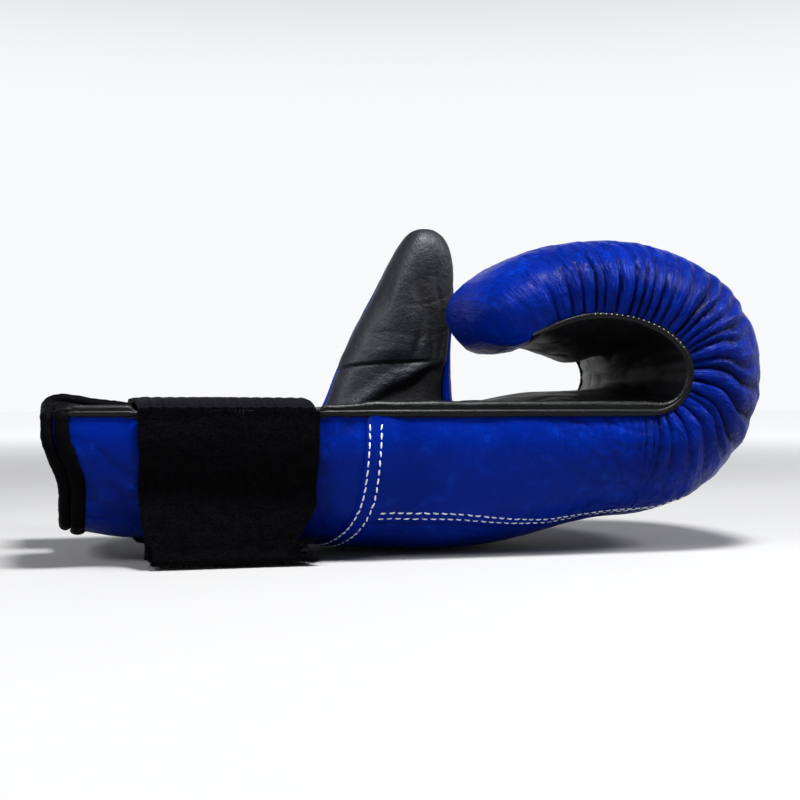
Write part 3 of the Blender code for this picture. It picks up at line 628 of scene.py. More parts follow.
class Shader:
    """Small helper that adds and links nodes of one material."""

    def __init__(self, name):
        self.material = bpy.data.materials.new(name)
        self.material.use_nodes = True
        self.tree = self.material.node_tree
        self.main = self.tree.nodes["Principled BSDF"]
        self.place = self.add("ShaderNodeTexCoord").outputs["Object"]

    def add(self, kind, **settings):
        node = self.tree.nodes.new(kind)
        for key, value in settings.items():
            setattr(node, key, value)
        return node

    def link(self, source, target):
        self.tree.links.new(source, target)

    def feed(self, target, value):
        if isinstance(value, bpy.types.NodeSocket):
            self.link(value, target)
        else:
            target.default_value = value

    def noise(self, scale, detail=3.0, rough=0.55, at=None, distortion=0.0):
        node = self.add("ShaderNodeTexNoise")
        self.link(at or self.place, node.inputs["Vector"])
        node.inputs["Scale"].default_value = scale
        node.inputs["Detail"].default_value = detail
        node.inputs["Roughness"].default_value = rough
        node.inputs["Distortion"].default_value = distortion
        return node.outputs["Fac"]

    def cells(self, scale, feature="DISTANCE_TO_EDGE", at=None):
        node = self.add("ShaderNodeTexVoronoi", feature=feature)
        self.link(at or self.place, node.inputs["Vector"])
        node.inputs["Scale"].default_value = scale
        return node.outputs["Distance"]

    def stretched(self, scale, rotation=(0, 0, 0)):
        node = self.add("ShaderNodeMapping")
        self.link(self.place, node.inputs["Vector"])
        node.inputs["Scale"].default_value = scale
        node.inputs["Rotation"].default_value = rotation
        return node.outputs["Vector"]

    def maths(self, operation, a, b=0.0, clamp=False):
        node = self.add("ShaderNodeMath", operation=operation, use_clamp=clamp)
        self.feed(node.inputs[0], a)
        self.feed(node.inputs[1], b)
        return node.outputs[0]

    def remap(self, value, low, high, to_low=0.0, to_high=1.0):
        node = self.add("ShaderNodeMapRange", interpolation_type="SMOOTHSTEP")
        self.feed(node.inputs["Value"], value)
        node.inputs["From Min"].default_value = low
        node.inputs["From Max"].default_value = high
        node.inputs["To Min"].default_value = to_low
        node.inputs["To Max"].default_value = to_high
        return node.outputs["Result"]

    def mix(self, factor, a, b):
        node = self.add("ShaderNodeMix", data_type="RGBA")
        self.feed(node.inputs["Factor"], factor)
        self.feed(node.inputs["A"], a)
        self.feed(node.inputs["B"], b)
        return node.outputs["Result"]

    def value(self, name):
        node = self.add("ShaderNodeAttribute", attribute_name=name)
        return node.outputs["Fac"]

    def bump(self, height, strength, distance, under=None):
        node = self.add("ShaderNodeBump")
        node.inputs["Strength"].default_value = strength
        node.inputs["Distance"].default_value = distance
        self.link(height, node.inputs["Height"])
        if under is not None:
            self.link(under, node.inputs["Normal"])
        return node.outputs["Normal"]


def leather(name, shade, base, lit, rough, coat, shine, grain=1.0, folds=1.0):
    """Glossy grained leather: pores, fine wrinkles, mottled colour and painted shade in the creases."""
    m = Shader(name)
    mottled = m.mix(m.remap(m.noise(26, 3), 0.25, 0.75, 0.35, 1.0), shade, base)
    worn = m.remap(m.noise(150, 5, 0.6), 0.52, 0.78, 0.0, 0.45)
    colour = m.mix(worn, mottled, lit)
    # painted shade: the crease attribute darkens the colour towards a third of the shade colour in creases,
    # valleys and seam grooves
    deep = m.maths("MULTIPLY", m.value("crease_shade"), 0.85, clamp=True)
    painted_shade = (shade[0] * 0.3, shade[1] * 0.3, shade[2] * 0.3, 1.0)
    m.link(m.mix(deep, colour, painted_shade), m.main.inputs["Base Color"])
    patches = m.remap(m.noise(90, 5, 0.65), 0.25, 0.75, rough - 0.05, rough + 0.07)
    m.link(m.maths("ADD", patches, m.maths("MULTIPLY", deep, 0.16)), m.main.inputs["Roughness"])
    pores = m.cells(1150 * grain)
    wrinkles = m.noise(260, 6, 0.62, m.stretched((1.0, 0.45, 1.0), (0.3, 0.2, 0.5)), 0.6)
    broken = m.cells(210, at=m.stretched((1.0, 0.6, 1.3), (0.1, 0.6, 0.2)))
    first = m.bump(m.remap(broken, 0.0, 0.2), 0.05 * folds, 0.0006)
    second = m.bump(wrinkles, 0.3 * folds, 0.0009, first)
    third = m.bump(m.remap(pores, 0.0, 0.3), 0.2, 0.00025, second)
    run = m.add("ShaderNodeCombineXYZ")
    m.link(m.maths("MULTIPLY", m.value("station"), 640.0), run.inputs[0])
    m.link(m.maths("MULTIPLY", m.value("arc"), 75.0), run.inputs[1])
    pulled = m.noise(1.0, 4, 0.6, run.outputs[0], 0.25)
    fourth = m.bump(m.maths("MULTIPLY", pulled, m.value("gather")), 1.0, 0.0021, third)
    m.link(fourth, m.main.inputs["Normal"])
    m.main.inputs["Specular IOR Level"].default_value = shine
    m.main.inputs["Coat Weight"].default_value = coat
    m.main.inputs["Coat Roughness"].default_value = 0.2
    m.main.inputs["Coat IOR"].default_value = 1.25
    return m.material


def pile(name, base, tip, scale, sheen):
    """Brushed loop pile: matted tufts, dust-light fibre ends and a soft sheen."""
    m = Shader(name)
    tufts = m.noise(scale, 6, 0.7, distortion=1.2)
    streaks = m.noise(scale * 0.55, 5, 0.7, m.stretched((1.0, 1.0, 0.35)), 0.8)
    mixed = m.maths("MULTIPLY", tufts, streaks)
    m.link(m.mix(m.remap(mixed, 0.2, 0.42), base, tip), m.main.inputs["Base Color"])
    m.main.inputs["Roughness"].default_value = 0.95
    m.main.inputs["Specular IOR Level"].default_value = 0.03
    m.main.inputs["Sheen Weight"].default_value = sheen
    m.main.inputs["Sheen Roughness"].default_value = 0.5
    curls = m.cells(scale * 0.9, "F1")
    m.link(m.bump(curls, 0.7, 0.0009, m.bump(tufts, 0.8, 0.0015)), m.main.inputs["Normal"])
    return m.material


def woven(name, base, thread, pitch, rough, ribs=None):
    """Fabric of crossing threads; ribs adds the raised cords of an elastic, across X."""
    m = Shader(name)
    split = m.add("ShaderNodeSeparateXYZ")
    m.link(m.place, split.inputs["Vector"])
    waves = []
    for axis in ("X", "Y"):
        turn = m.maths("MULTIPLY", split.outputs[axis], 2 * math.pi / pitch)
        waves.append(m.maths("SINE", turn))
    weave = m.maths("MULTIPLY", waves[0], waves[1])
    patchy = m.noise(60, 4)
    tone = m.maths("ADD", m.maths("MULTIPLY", weave, 0.3), patchy)
    m.link(m.mix(m.remap(tone, 0.2, 0.9), base, thread), m.main.inputs["Base Color"])
    under = m.bump(weave, 0.5, 0.0003)
    if ribs:
        turn = m.maths("MULTIPLY", split.outputs["X"], 2 * math.pi / ribs)
        rib = m.maths("ABSOLUTE", m.maths("SINE", turn))
        under = m.bump(rib, 0.7, 0.0006, under)
    m.link(under, m.main.inputs["Normal"])
    m.link(m.remap(patchy, 0.3, 0.7, rough - 0.05, rough + 0.08), m.main.inputs["Roughness"])
    m.main.inputs["Sheen Weight"].default_value = 0.01
    m.main.inputs["Specular IOR Level"].default_value = 0.03
    return m.material


def foam(name, base, light):
    m = Shader(name)
    cells = m.cells(900, "F1")
    m.link(m.mix(m.remap(m.noise(120, 4), 0.3, 0.7), base, light), m.main.inputs["Base Color"])
    m.link(m.bump(cells, 0.6, 0.0005), m.main.inputs["Normal"])
    m.link(m.remap(cells, 0.2, 0.8, 0.8, 0.95), m.main.inputs["Roughness"])
    return m.material


def thread(name, base, shade):
    """Waxed thread: slanting strands and slight soiling."""
    m = Shader(name)
    twist = m.noise(2600, 2, 0.4, m.stretched((1.0, 0.3, 1.0), (0.6, 0.6, 0.8)))
    soil = m.noise(240, 4)
    mixed = m.maths("ADD", m.maths("MULTIPLY", twist, 0.5), m.maths("MULTIPLY", soil, 0.6))
    m.link(m.mix(m.remap(mixed, 0.35, 0.7), shade, base), m.main.inputs["Base Color"])
    m.link(m.bump(twist, 0.6, 0.0002), m.main.inputs["Normal"])
    m.link(m.remap(soil, 0.3, 0.7, 0.45, 0.7), m.main.inputs["Roughness"])
    return m.material


def floor_material():
    """Pale floor that brightens into the surround away from the object."""
    m = Shader("pale_floor")
    m.link(m.mix(m.noise(3, 3), (0.33, 0.33, 0.335, 1), (0.36, 0.36, 0.36, 1)),
           m.main.inputs["Base Color"])
    m.main.inputs["Roughness"].default_value = 0.7
    distance = m.add("ShaderNodeVectorMath", operation="LENGTH")
    m.link(m.place, distance.inputs[0])
    m.main.inputs["Emission Color"].default_value = (0.97, 0.98, 1.0, 1)
    m.link(m.remap(distance.outputs["Value"], 0.30, 1.7, 0.0, 0.82), m.main.inputs["Emission Strength"])
    return m.material


BLUE = leather("blue_leather_skin", rgb(0, 15, 84), rgb(0, 28, 122), rgb(2, 56, 176), 0.3, 0.05, 0.03)
BLACK = leather("black_leather_skin", rgb(5, 6, 8), rgb(9, 10, 14), rgb(22, 25, 33), 0.42, 0.08, 0.2,
                folds=1.2)
# a lighter copy of the black leather for the thumb's front: painted light, as if lit from the left
THUMB_BLACK_PAINTED_LIT = leather("satin_black_leather_painted_lit", rgb(9, 10, 15), rgb(19, 22, 31), rgb(38, 43, 56), 0.48, 0.05, 0.3,
               grain=0.8, folds=1.7)
PIPING = leather("black_piping_leather", rgb(3, 4, 5), rgb(7, 8, 9), rgb(16, 18, 20), 0.34, 0.12, 0.14,
                 grain=1.3)
TAPE = leather("black_binding_tape", rgb(1, 1, 2), rgb(3, 3, 5), rgb(9, 9, 12), 0.6, 0.0, 0.02,
               grain=1.5)
LOOP = pile("loop_pile_tape", rgb(0, 0, 2), rgb(7, 7, 13), 1500, 0.012)
HOOK = pile("hook_tape_face", rgb(6, 6, 8), rgb(30, 31, 35), 2300, 0.01)
ELASTIC = woven("ribbed_elastic_band", rgb(2, 2, 5), rgb(8, 9, 15), 0.0011, 0.7, ribs=0.0042)
LINING = woven("lining_weave", rgb(12, 12, 15), rgb(28, 28, 34), 0.0009, 0.8)
FOAM = foam("foam_cells", rgb(96, 96, 100), rgb(128, 128, 132))
THREAD = thread("waxed_thread", rgb(236, 238, 242), rgb(176, 180, 190))


# Rows and columns of the body's skins
def skin_rows():
    """Stations of the hand's skin: dense round the curl, and even round the fingertips' end."""
    rows = list(np.arange(CUFF_SEAM - OVERLAP, 196 * MM, 1.15 * MM))
    rows += list(np.arange(196 * MM, 206 * MM, 0.7 * MM))
    rows += list(np.arange(206 * MM, S_END - NOSE, 0.4 * MM))
    turn = np.linspace(0, math.pi / 2, 26)[1:]
    rows += [S_END - NOSE * (1 - math.sin(a) ** (2 / NOSE_POWER)) for a in turn]
    rows[-1] = S_END - 0.0005 * MM
    return np.array(rows)


def back_columns():
    """Shares of the columns over the back: about 1 mm apart on the sides, wider in the middle."""
    near = np.linspace(0, 0.345, 58)
    middle = np.linspace(0.345, 0.655, 26)[1:-1]
    return np.concatenate([near, middle, 1 - near[::-1]])


def palm_columns():
    return np.linspace(1, -1, 60)


def panel_relief(s, share, length):
    """Relief of the blue hand skin: gathers, side seams, cuff edge and soft unevenness, with painted shade
    in its valleys and seam grooves.
    """
    arc_little = share * length
    arc_index = (1 - share) * length
    height_a, painted_shade_a = gathers(s, arc_little, 11)
    height_b, painted_shade_b = gathers(s, arc_index, 47)
    height = height_a + height_b
    painted_shade = painted_shade_a + painted_shade_b
    hand = 1 - smoothstep(205 * MM, 235 * MM, s)
    slow = lattice(s / (21 * MM), share * length / (17 * MM), 5)
    slow = slow + 0.5 * lattice(s / (9 * MM), share * length / (10 * MM), 6)
    height = height + 0.32 * MM * slow
    drag = creases((s + 0.7 * arc_little) / (15 * MM), (arc_little - 0.55 * s) / (6.5 * MM), 15, 6.0)
    drag = drag * smoothstep(158 * MM, 200 * MM, s) * hand
    height = height - 0.4 * MM * drag
    # painted shade in the drag creases
    painted_shade = painted_shade + 0.3 * drag
    seam_run = window(CUFF_SEAM, CUFF_SEAM + 6 * MM, 226 * MM, 244 * MM, s)
    for share_seam in (side_seam(s), 1 - side_seam(s)):
        across = (share - share_seam) * length
        row = SIDE_ROWS * length
        fold = bell(across, 1.7 * MM) * 0.45 * MM
        channel = bell(np.abs(across) - row, 0.75 * MM) * 0.42 * MM
        height = height + (fold - channel) * seam_run
        groove = bell(across - 3.6 * MM, 0.55 * MM)
        height = height - 0.45 * MM * groove * seam_run
        # painted shade in the groove beside each side seam
        painted_shade = painted_shade + 0.8 * groove * seam_run
    from_edge = s - (CUFF_SEAM - OVERLAP)
    height = height + 1.15 * MM * window(0, 1.4 * MM, 5 * MM, 15 * MM, from_edge)
    for row in (CUFF_SEAM - CUFF_ROWS, CUFF_SEAM + CUFF_ROWS):
        height = height - 0.34 * MM * bell(s - row, 0.9 * MM)
    tuck = bell(np.minimum(arc_little, arc_index), 1.6 * MM)
    height = height - 0.5 * MM * tuck * smoothstep(CUFF_SEAM, CUFF_SEAM + 5 * MM, s)
    nose = smoothstep(S_END - 5 * MM, S_END, s)
    return height * (1 - nose), painted_shade * (1 - nose)


def cuff_shift(s, share):
    near_seam = smoothstep(CUFF_SEAM - 34 * MM, CUFF_SEAM, s)
    return rim_slant(s, share) + lean(share) * near_seam


def hand_shift(s, share):
    return lean(share) * (1 - smoothstep(CUFF_SEAM, CUFF_SEAM + 32 * MM, s))


def build_blue_skin():
    """One padded leather skin over back, sides and fingertips, from the cuff seam on."""
    rows, columns = skin_rows(), back_columns()
    s, share = cells(rows, columns)
    shifted = s + hand_shift(s, share)
    points, length = back_grid(shifted, share, OUTSIDE)
    normals = grid_normals(points, section_centres(s))
    height, painted_shade = panel_relief(s, share, length)
    outer = pushed(points, normals, height)
    inner = pushed(points, normals, 0.55 * height - SKIN)
    wrap_rows = rows[rows > S_WRAP - 1e-9]
    first = len(rows) - len(wrap_rows)
    palm_s, palm_share = cells(wrap_rows, palm_columns())
    palm = palm_grid(palm_s, palm_share, OUTSIDE)
    palm_normals = grid_normals(palm, section_centres(palm_s))
    swell = 0.25 * MM * lattice(palm_s / (6 * MM), palm_share * 6, 21)
    swell = swell * (1 - palm_share ** 4) * (1 - smoothstep(S_END - 4 * MM, S_END, palm_s))
    palm_outer = pushed(palm, palm_normals, swell)
    palm_outer[:, 0] = outer[first:, -1]
    palm_outer[:, -1] = outer[first:, 0]
    palm_inner = palm - palm_normals * SKIN
    palm_inner[:, 0] = inner[first:, -1]
    palm_inner[:, -1] = inner[first:, 0]
    outer[..., 2] = np.maximum(outer[..., 2], 0.05 * MM)
    outer[-1] = outer[-1].mean(axis=0)
    inner[-1] = inner[-1].mean(axis=0)
    palm_outer[-1] = outer[-1].mean(axis=0)
    palm_inner[-1] = inner[-1].mean(axis=0)
    width_a, width_b = len(columns), palm_outer.shape[1]
    all_outer = np.full((len(rows), width_a + width_b - 2, 3), 0.0)
    all_inner = np.full_like(all_outer, 0.0)
    all_outer[:, :width_a] = outer
    all_inner[:, :width_a] = inner
    all_outer[first:, width_a:] = palm_outer[:, 1:-1]
    all_inner[first:, width_a:] = palm_inner[:, 1:-1]
    keep = np.ones((len(rows) - 1, all_outer.shape[1]), bool)
    keep[:first, width_a - 1:] = False
    station = np.repeat(rows[:, None], all_outer.shape[1], axis=1)
    # painted shade of the gathers and seams, which darkens the leather's colour
    shade = np.zeros(station.shape)
    shade[:, :width_a] = painted_shade
    beside = np.zeros(station.shape)
    beside[:, :width_a] = np.minimum(share, 1 - share) * length
    around = smoothstep(198 * MM, 226 * MM, station)
    around = around * (1 - 0.6 * smoothstep(290 * MM, 318 * MM, station))
    pull = (0.12 + 0.88 * around) * (1 - smoothstep(40 * MM, 72 * MM, beside))
    points, faces = shell(all_outer, all_inner, keep, ring=True)
    item = add_piece("hand_skin_blue", points, faces, BLUE,
                     ["back_panel", "side_panel_little", "side_panel_index", "finger_back_panel",
                      "finger_side_little", "finger_side_index"],
                     {"station": twice(station), "crease_shade": twice(shade), "arc": twice(beside),
                      "gather": twice(pull)}, weld=0.02 * MM)
    ride_knuckle(item)


def build_cuff():
    """Blue cuff skin under the strap."""
    rows = np.linspace(RIM_S - 1 * MM, CUFF_SEAM + 3 * MM, 74)
    columns = np.linspace(0, 1, 116)
    s, share = cells(rows, columns)
    points, length = back_grid(s + cuff_shift(s, share), share, OUTSIDE)
    normals = grid_normals(points, section_centres(s))
    across = share * length
    height = 0.42 * MM * lattice(s / (17 * MM), across / (15 * MM), 61)
    fold = creases((s + 0.35 * across) / (19 * MM), (across - 0.5 * s) / (10 * MM), 64, 5.0)
    height = height - 0.3 * MM * fold
    pressed = window(STRAP_S[0] - 7 * MM, STRAP_S[0] + 3 * MM,
                     STRAP_S[1] - 3 * MM, STRAP_S[1] + 7 * MM, s)
    height = height * (1 - 0.8 * pressed) - 0.35 * MM * pressed
    beyond = smoothstep(CUFF_SEAM - 5 * MM, CUFF_SEAM - 2.5 * MM, s)
    height = height * (1 - beyond) - 0.5 * MM * beyond
    outer = pushed(points, normals, height)
    inner = pushed(points, normals, 0.5 * height - SKIN)
    outer[..., 2] = np.maximum(outer[..., 2], 0.05 * MM)
    points, faces = shell(outer, inner)
    # the folds get painted shade
    item = add_piece("cuff_skin_blue", points, faces, BLUE, ["cuff_panel"],
                     {"crease_shade": twice(0.4 * fold)})
    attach(item, "hand")


def inside_thumb(points, margin):
    """Which points lie inside the thumb's base outline, drawn in by margin."""
    left = float(along(THUMB_LEFT, THUMB_BASE_Z)) + margin
    right = float(along(THUMB_RIGHT, THUMB_BASE_Z)) - margin
    x = (points[..., 0] - (left + right) / 2) / ((right - left) / 2)
    y = (points[..., 1] - THUMB_Y) / (THUMB_HALF_Y - margin)
    power = 2 / 0.8
    return np.abs(x) ** power + np.abs(y) ** power < 1


def slit_shares(rows, halves, count):
    """Shares of the palm's columns, count on either side of the wrist slit, for each row."""
    shares = np.empty((len(rows), 2 * count))
    for r, station in enumerate(rows):
        edge = float(slit_half(station)) / float(halves[r]) if station < SLIT_END else 0.0
        shares[r, :count] = edge + (1 - edge) * np.linspace(1, 0, count)
        shares[r, count:] = -shares[r, :count][::-1]
    return shares


def build_palm_skin():
    """Black palm leather from rim to fingertips, with the wrist slit and the thumb's opening."""
    rows = np.concatenate([np.arange(RIM_S - 1 * MM, SLIT_END, 1.4 * MM),
                           np.arange(SLIT_END, CURL_START, 1.5 * MM),
                           np.arange(CURL_START, S_WRAP, 0.95 * MM), [S_WRAP]])
    half_count = 33
    halves = section_limits(rows, OUTSIDE)[1] * (1 - SEAM_TUCK)
    share = slit_shares(rows, halves, half_count)
    s = np.repeat(rows[:, None], share.shape[1], axis=1)
    points = palm_grid(s, share, OUTSIDE)
    normals = grid_normals(points, section_centres(s))
    across = points[..., 1]
    height = 0.4 * MM * lattice(s / (20 * MM), across / (17 * MM), 31)
    curl = smoothstep(CURL_START, 225 * MM, s)
    drift = 2.2 * lattice(s / (9 * MM), across / (12 * MM), 33)
    gather = np.sin(s / (3.4 * MM) * 2 * math.pi / 1.9 + drift)
    near_edge = np.exp(-((1 - np.abs(share)) * 50 / 13) ** 2)
    height = height + 0.3 * MM * gather * near_edge * curl
    fold = creases(s / (13 * MM), across / (19 * MM), 35, 6.0)
    height = height - 0.28 * MM * fold
    edge_fade = smoothstep(0, 0.04, 1 - np.abs(share))
    height = height * edge_fade
    outer = pushed(points, normals, height)
    inner = pushed(points, normals, 0.5 * height - SKIN)
    keep = np.ones((len(rows) - 1, share.shape[1] - 1), bool)
    keep[:, half_count - 1] = rows[:-1] >= SLIT_END - 0.01 * MM
    middles = 0.25 * (points[:-1, :-1] + points[1:, :-1] + points[:-1, 1:] + points[1:, 1:])
    keep &= ~(inside_thumb(middles, 1.2 * MM) & (middles[..., 2] < BELOW_ROLL))
    points, faces = shell(outer, inner, keep)
    # painted shade in the folds and along the gathered edges in the curl
    item = add_piece("palm_skin_black", points, faces, BLACK,
                     ["palm_panel", "finger_palm_panel"],
                     {"station": twice(s), "crease_shade": twice(0.6 * fold + 0.35 * near_edge * curl)},
                     weld=0.02 * MM)
    ride_knuckle(item)


def drawn_in(s, tip):
    """Stations past the roll's top, moved back so that a layer ends tip short of the skin."""
    return np.where(s < S_TOP, s, S_TOP + (s - S_TOP) * (S_END - tip - S_TOP) / (S_END - S_TOP))


def build_cuff_foam():
    """Thin foam under the cuff's skin."""
    s, share = cells(np.linspace(RIM_S, CUFF_SEAM - 1 * MM, 28), np.linspace(0, 1, 84))
    moved = s + cuff_shift(s, share)
    outer, _ = back_grid(moved, share, even_layer(FOAM_OUT))
    inner, _ = back_grid(moved, share, inner_layer(FOAM_IN, FOAM_OUT))
    points, faces = shell(outer, inner)
    item = add_piece("cuff_foam_pad", points, faces, FOAM, ["cuff_foam"])
    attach(item, "hand")


def build_hand_foam():
    """Thick foam under the blue skin, which bends with the knuckle."""
    nose_rows = 15 * MM * (1 - np.sin(np.linspace(0, 1.45, 14)) ** 0.8)
    rows = np.concatenate([np.arange(CUFF_SEAM + 1.5 * MM, CURL_START, 4 * MM),
                           np.arange(CURL_START, S_END - 1.7 * MM - NOSE, 1.6 * MM),
                           S_END - 1.7 * MM - nose_rows])
    columns = np.linspace(0, 1, 84)
    s, share = cells(rows, columns)
    tip = float(along(FOAM_BACK, S_END))
    outer, length = back_grid(s + hand_shift(s, share), share, even_layer(FOAM_OUT))
    normals = grid_normals(outer, section_centres(s))
    height, _ = panel_relief(s, share, length)
    outer = pushed(outer, normals, 0.55 * np.minimum(height, 0.0))
    inner, _ = back_grid(drawn_in(s, tip) + hand_shift(s, share), share,
                         inner_layer(FOAM_IN, FOAM_OUT))
    points, faces = shell(outer, inner)
    item = add_piece("hand_foam_pad", points, faces, FOAM,
                     ["hand_foam", "finger_foam"], {"station": twice(s)})
    ride_knuckle(item)


def build_lining():
    """Cloth pocket for the hand and the fingers."""
    rows = np.concatenate([np.arange(RIM_S, S_TOP, 3 * MM), np.linspace(S_TOP, S_END, 22)])
    tip = float(along(FOAM_BACK, S_END)) + 1.7 * MM
    turned = drawn_in(rows, tip)
    turned[-1] -= 0.05 * MM
    back_share = np.linspace(0, 1, 72)
    palm_half = 17
    grids = []
    for extra in (1.7 * MM, 2.5 * MM):
        layer = inner_layer(extra, extra)
        s, share = cells(turned, back_share)
        named = np.repeat(rows[:, None], len(back_share), axis=1)
        shift = np.where(named < CUFF_SEAM, cuff_shift(named, share), hand_shift(named, share))
        back, _ = back_grid(s + shift, share, layer)
        halves = np.array([float(section_limits(station, layer)[1]) for station in turned])
        halves = np.maximum(halves * (1 - SEAM_TUCK), 1 * MM)
        palm_share = slit_shares(rows, halves, palm_half)
        palm_s = np.repeat(turned[:, None], palm_share.shape[1], axis=1)
        palm = palm_grid(palm_s, palm_share, layer)
        grids.append(np.concatenate([back, palm[:, 1:-1]], axis=1))
    outer, inner = grids
    keep = np.ones((len(rows) - 1, outer.shape[1]), bool)
    slit_column = len(back_share) + palm_half - 2
    keep[:, slit_column] = rows[:-1] >= SLIT_END - 0.01 * MM
    following = np.roll(outer, -1, axis=1)
    middles = 0.25 * (outer[:-1] + outer[1:] + following[:-1] + following[1:])
    on_palm = (middles[..., 2] > 40 * MM) & (middles[..., 2] < BELOW_ROLL)
    keep &= ~(inside_thumb(middles, 2.5 * MM) & on_palm)
    points, faces = shell(outer, inner, keep, ring=True)
    station = np.repeat(rows[:, None], outer.shape[1], axis=1)
    item = add_piece("pocket_lining", points, faces, LINING,
                     ["hand_lining", "finger_lining"], {"station": twice(station)}, weld=0.02 * MM)
    ride_knuckle(item)


def seam_line(rows, side, lift, out):
    """Points beside a palm seam, raised by lift and set outwards by out."""
    share = np.full(rows.shape, float(side))
    seam = palm_grid(rows, share, OUTSIDE)
    _, _, out_x, out_z = seam_frame(rows)
    up = np.stack([-out_x, 0 * rows, -out_z], axis=1)
    side_step = np.stack([0 * rows, np.full(rows.shape, float(side)), 0 * rows], axis=1)
    return seam + up * lift + side_step * out, up


def build_piping():
    """Rolled leather on the palm seams, with the flat welt that it is sewn to; the welt is painted darker as
    shade under the roll.
    """
    for name, side, first, nodes in (
            ("piping_little_roll", -1, RIM_S + 2 * MM, ["piping_little", "finger_piping_little"]),
            ("piping_index_roll", 1, 171.5 * MM, ["piping_index", "finger_piping_index"])):
        rows = np.concatenate([np.arange(first, CURL_START, 1.2 * MM),
                               np.arange(CURL_START, S_WRAP - 1 * MM, 0.5 * MM)])
        under = window(STRAP_S[0] - 5 * MM, STRAP_S[0], STRAP_S[1], STRAP_S[1] + 5 * MM, rows)
        flat = np.maximum(under, 0.4 * (1 - smoothstep(96 * MM, 116 * MM, rows)))
        close = np.maximum(smoothstep(214 * MM, 232 * MM, rows), flat)
        path, up = seam_line(rows, side, 2.5 * MM, -1.9 * MM)
        snug, _ = seam_line(rows, side, 0.75 * MM, -0.5 * MM)
        path = path + (snug - path) * close[:, None]
        wobble = 0.16 * MM * lattice(rows / (7 * MM), 0 * rows, 71 + side)
        path = path + up * wobble[:, None]
        curl = smoothstep(206 * MM, 226 * MM, rows)
        drift = 2 * lattice(rows / (5 * MM), 0 * rows, 75)
        pucker = np.sin(rows / (1.75 * MM) * 2 * math.pi / 1.3 + drift)
        ends = smoothstep(0, 3 * MM, rows - rows[0]) * (1 - smoothstep(-9 * MM, 0, rows - rows[-1]))
        slim = 1 - np.maximum(0.55 * smoothstep(214 * MM, 232 * MM, rows), 0.7 * flat)
        radii = 1 + 0.05 * lattice(rows / (9 * MM), 0 * rows, 77) + 0.05 * pucker * curl
        radii = radii * (0.2 + 0.8 * ends) * slim
        roll = sweep(path, PIPING_R * 1.02, PIPING_R * 1.12, up, 18, radii=radii)
        welt_path, up = seam_line(rows, side, 0.35 * MM, 0.15 * MM)
        welt = sweep(welt_path, 1.1 * MM, 1.4 * MM, up, 12,
                     radii=(0.2 + 0.8 * ends) * (1 - 0.5 * close))
        # the welt gets painted shade, as it lies under the roll
        for label, grid, shade, stood_for in ((name, roll, 0.0, nodes),
                                              (name.replace("roll", "welt"), welt, 0.3, [])):
            station = np.repeat(rows, grid.shape[1])
            item = add_piece(label, grid, tube_faces(*grid.shape[:2]), PIPING,
                             stood_for, {"station": station, "crease_shade": shade + 0 * station},
                             cut=False)
            ride_knuckle(item)


def rim_line(back, lift, palm_share_to):
    """Line round the rim, back inside it: 70 points over the back, 9 on the index side's palm."""
    share = np.linspace(0, 1, 70)[None, :]
    s = np.full(share.shape, back)
    layer = even_layer(-lift)
    points, _ = back_grid(s + rim_slant(s, share), share, layer)
    palm = palm_grid(np.full(9, back), np.linspace(0.97, palm_share_to, 9), layer)
    return np.concatenate([points[0], palm])


def from_wrist(line):
    """Directions across the wrist, from its middle to the points of a line."""
    away = line - np.array([RIM_X, 0, 33 * MM])
    away[:, 0] = 0
    return unit(away)


def uneven(count, pace, seed):
    """Smooth noise from -1 to 1 for the points of a line."""
    wobble = np.arange(count) / count * 60
    return lattice(wobble * pace, 0 * wobble, seed)


def add_binding(name, line, size, radii, nodes, closed=False):
    grid = sweep(line, *size, from_wrist(line), 16, closed, radii)
    item = add_piece(name, grid, tube_faces(len(line), 16, closed), TAPE, nodes,
                     {"crease_shade": np.zeros(len(line) * 16)}, cut=False)
    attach(item, "hand")


def build_binding_edge():
    """Rolled binding round the rim, which also runs along both sides of the wrist slit."""
    rim = rim_line(1.6 * MM, -0.9 * MM, 0.34)
    slit = []
    for station in np.array([5.0, 12.0, 22.0, 32.0, 38.0]) * MM:
        half = float(section_limits(station, OUTSIDE)[1]) * (1 - SEAM_TUCK)
        share = (SLIT_HALF + SLIT_FLARE * (1 - station / SLIT_END) - 2.0 * MM) / half
        slit.append(palm_grid(np.array([station]), np.array([share]), even_layer(-0.5 * MM))[0])
    turn_r = slit[-1][1]
    turn = []
    for degrees in (25, 50, 75, 90):
        a = math.radians(degrees)
        turn.append(slit[-1] + turn_r * np.array([math.sin(a), math.cos(a) - 1, 0]))
    right = np.array(list(rim[70:]) + slit + turn)
    left = right[:-1][::-1] * np.array([1, -1, 1])
    loop = np.concatenate([rim[:70], right, left])
    loop = resample(rounded(np.concatenate([loop, loop[:1]]), 2), 1.3 * MM)[:-1]
    count = len(loop)
    radii = 1 + 0.08 * uneven(count, 1.7, 81) + 0.05 * uneven(count, 5, 82)
    flare = 0.35 * MM * uneven(count, 0.7, 83)
    line = loop + from_wrist(loop) * flare[:, None]
    add_binding("cuff_binding_edge", line, (BINDING_R * 1.05, BINDING_R * 1.05), radii,
                ["cuff_binding"], closed=True)


def build_binding_fold():
    """Second ridge of the binding, behind the first."""
    inner = rim_line(6.4 * MM, 0.15 * MM, 0.42)
    mirrored = inner[70:][::-1] * np.array([1, -1, 1])
    line = resample(rounded(np.concatenate([mirrored, inner]), 2), 1.3 * MM)
    count = len(line)
    radii = 1 + 0.09 * uneven(count, 1.9, 85) + 0.05 * uneven(count, 6, 86)
    taper = np.minimum(np.arange(count), np.arange(count)[::-1]) / 4.0
    radii = radii * np.clip(0.3 + taper, 0, 1)
    line = line + from_wrist(line) * 0.2 * MM
    add_binding("cuff_binding_fold", line, (2.5 * MM, 1.5 * MM), radii, [])


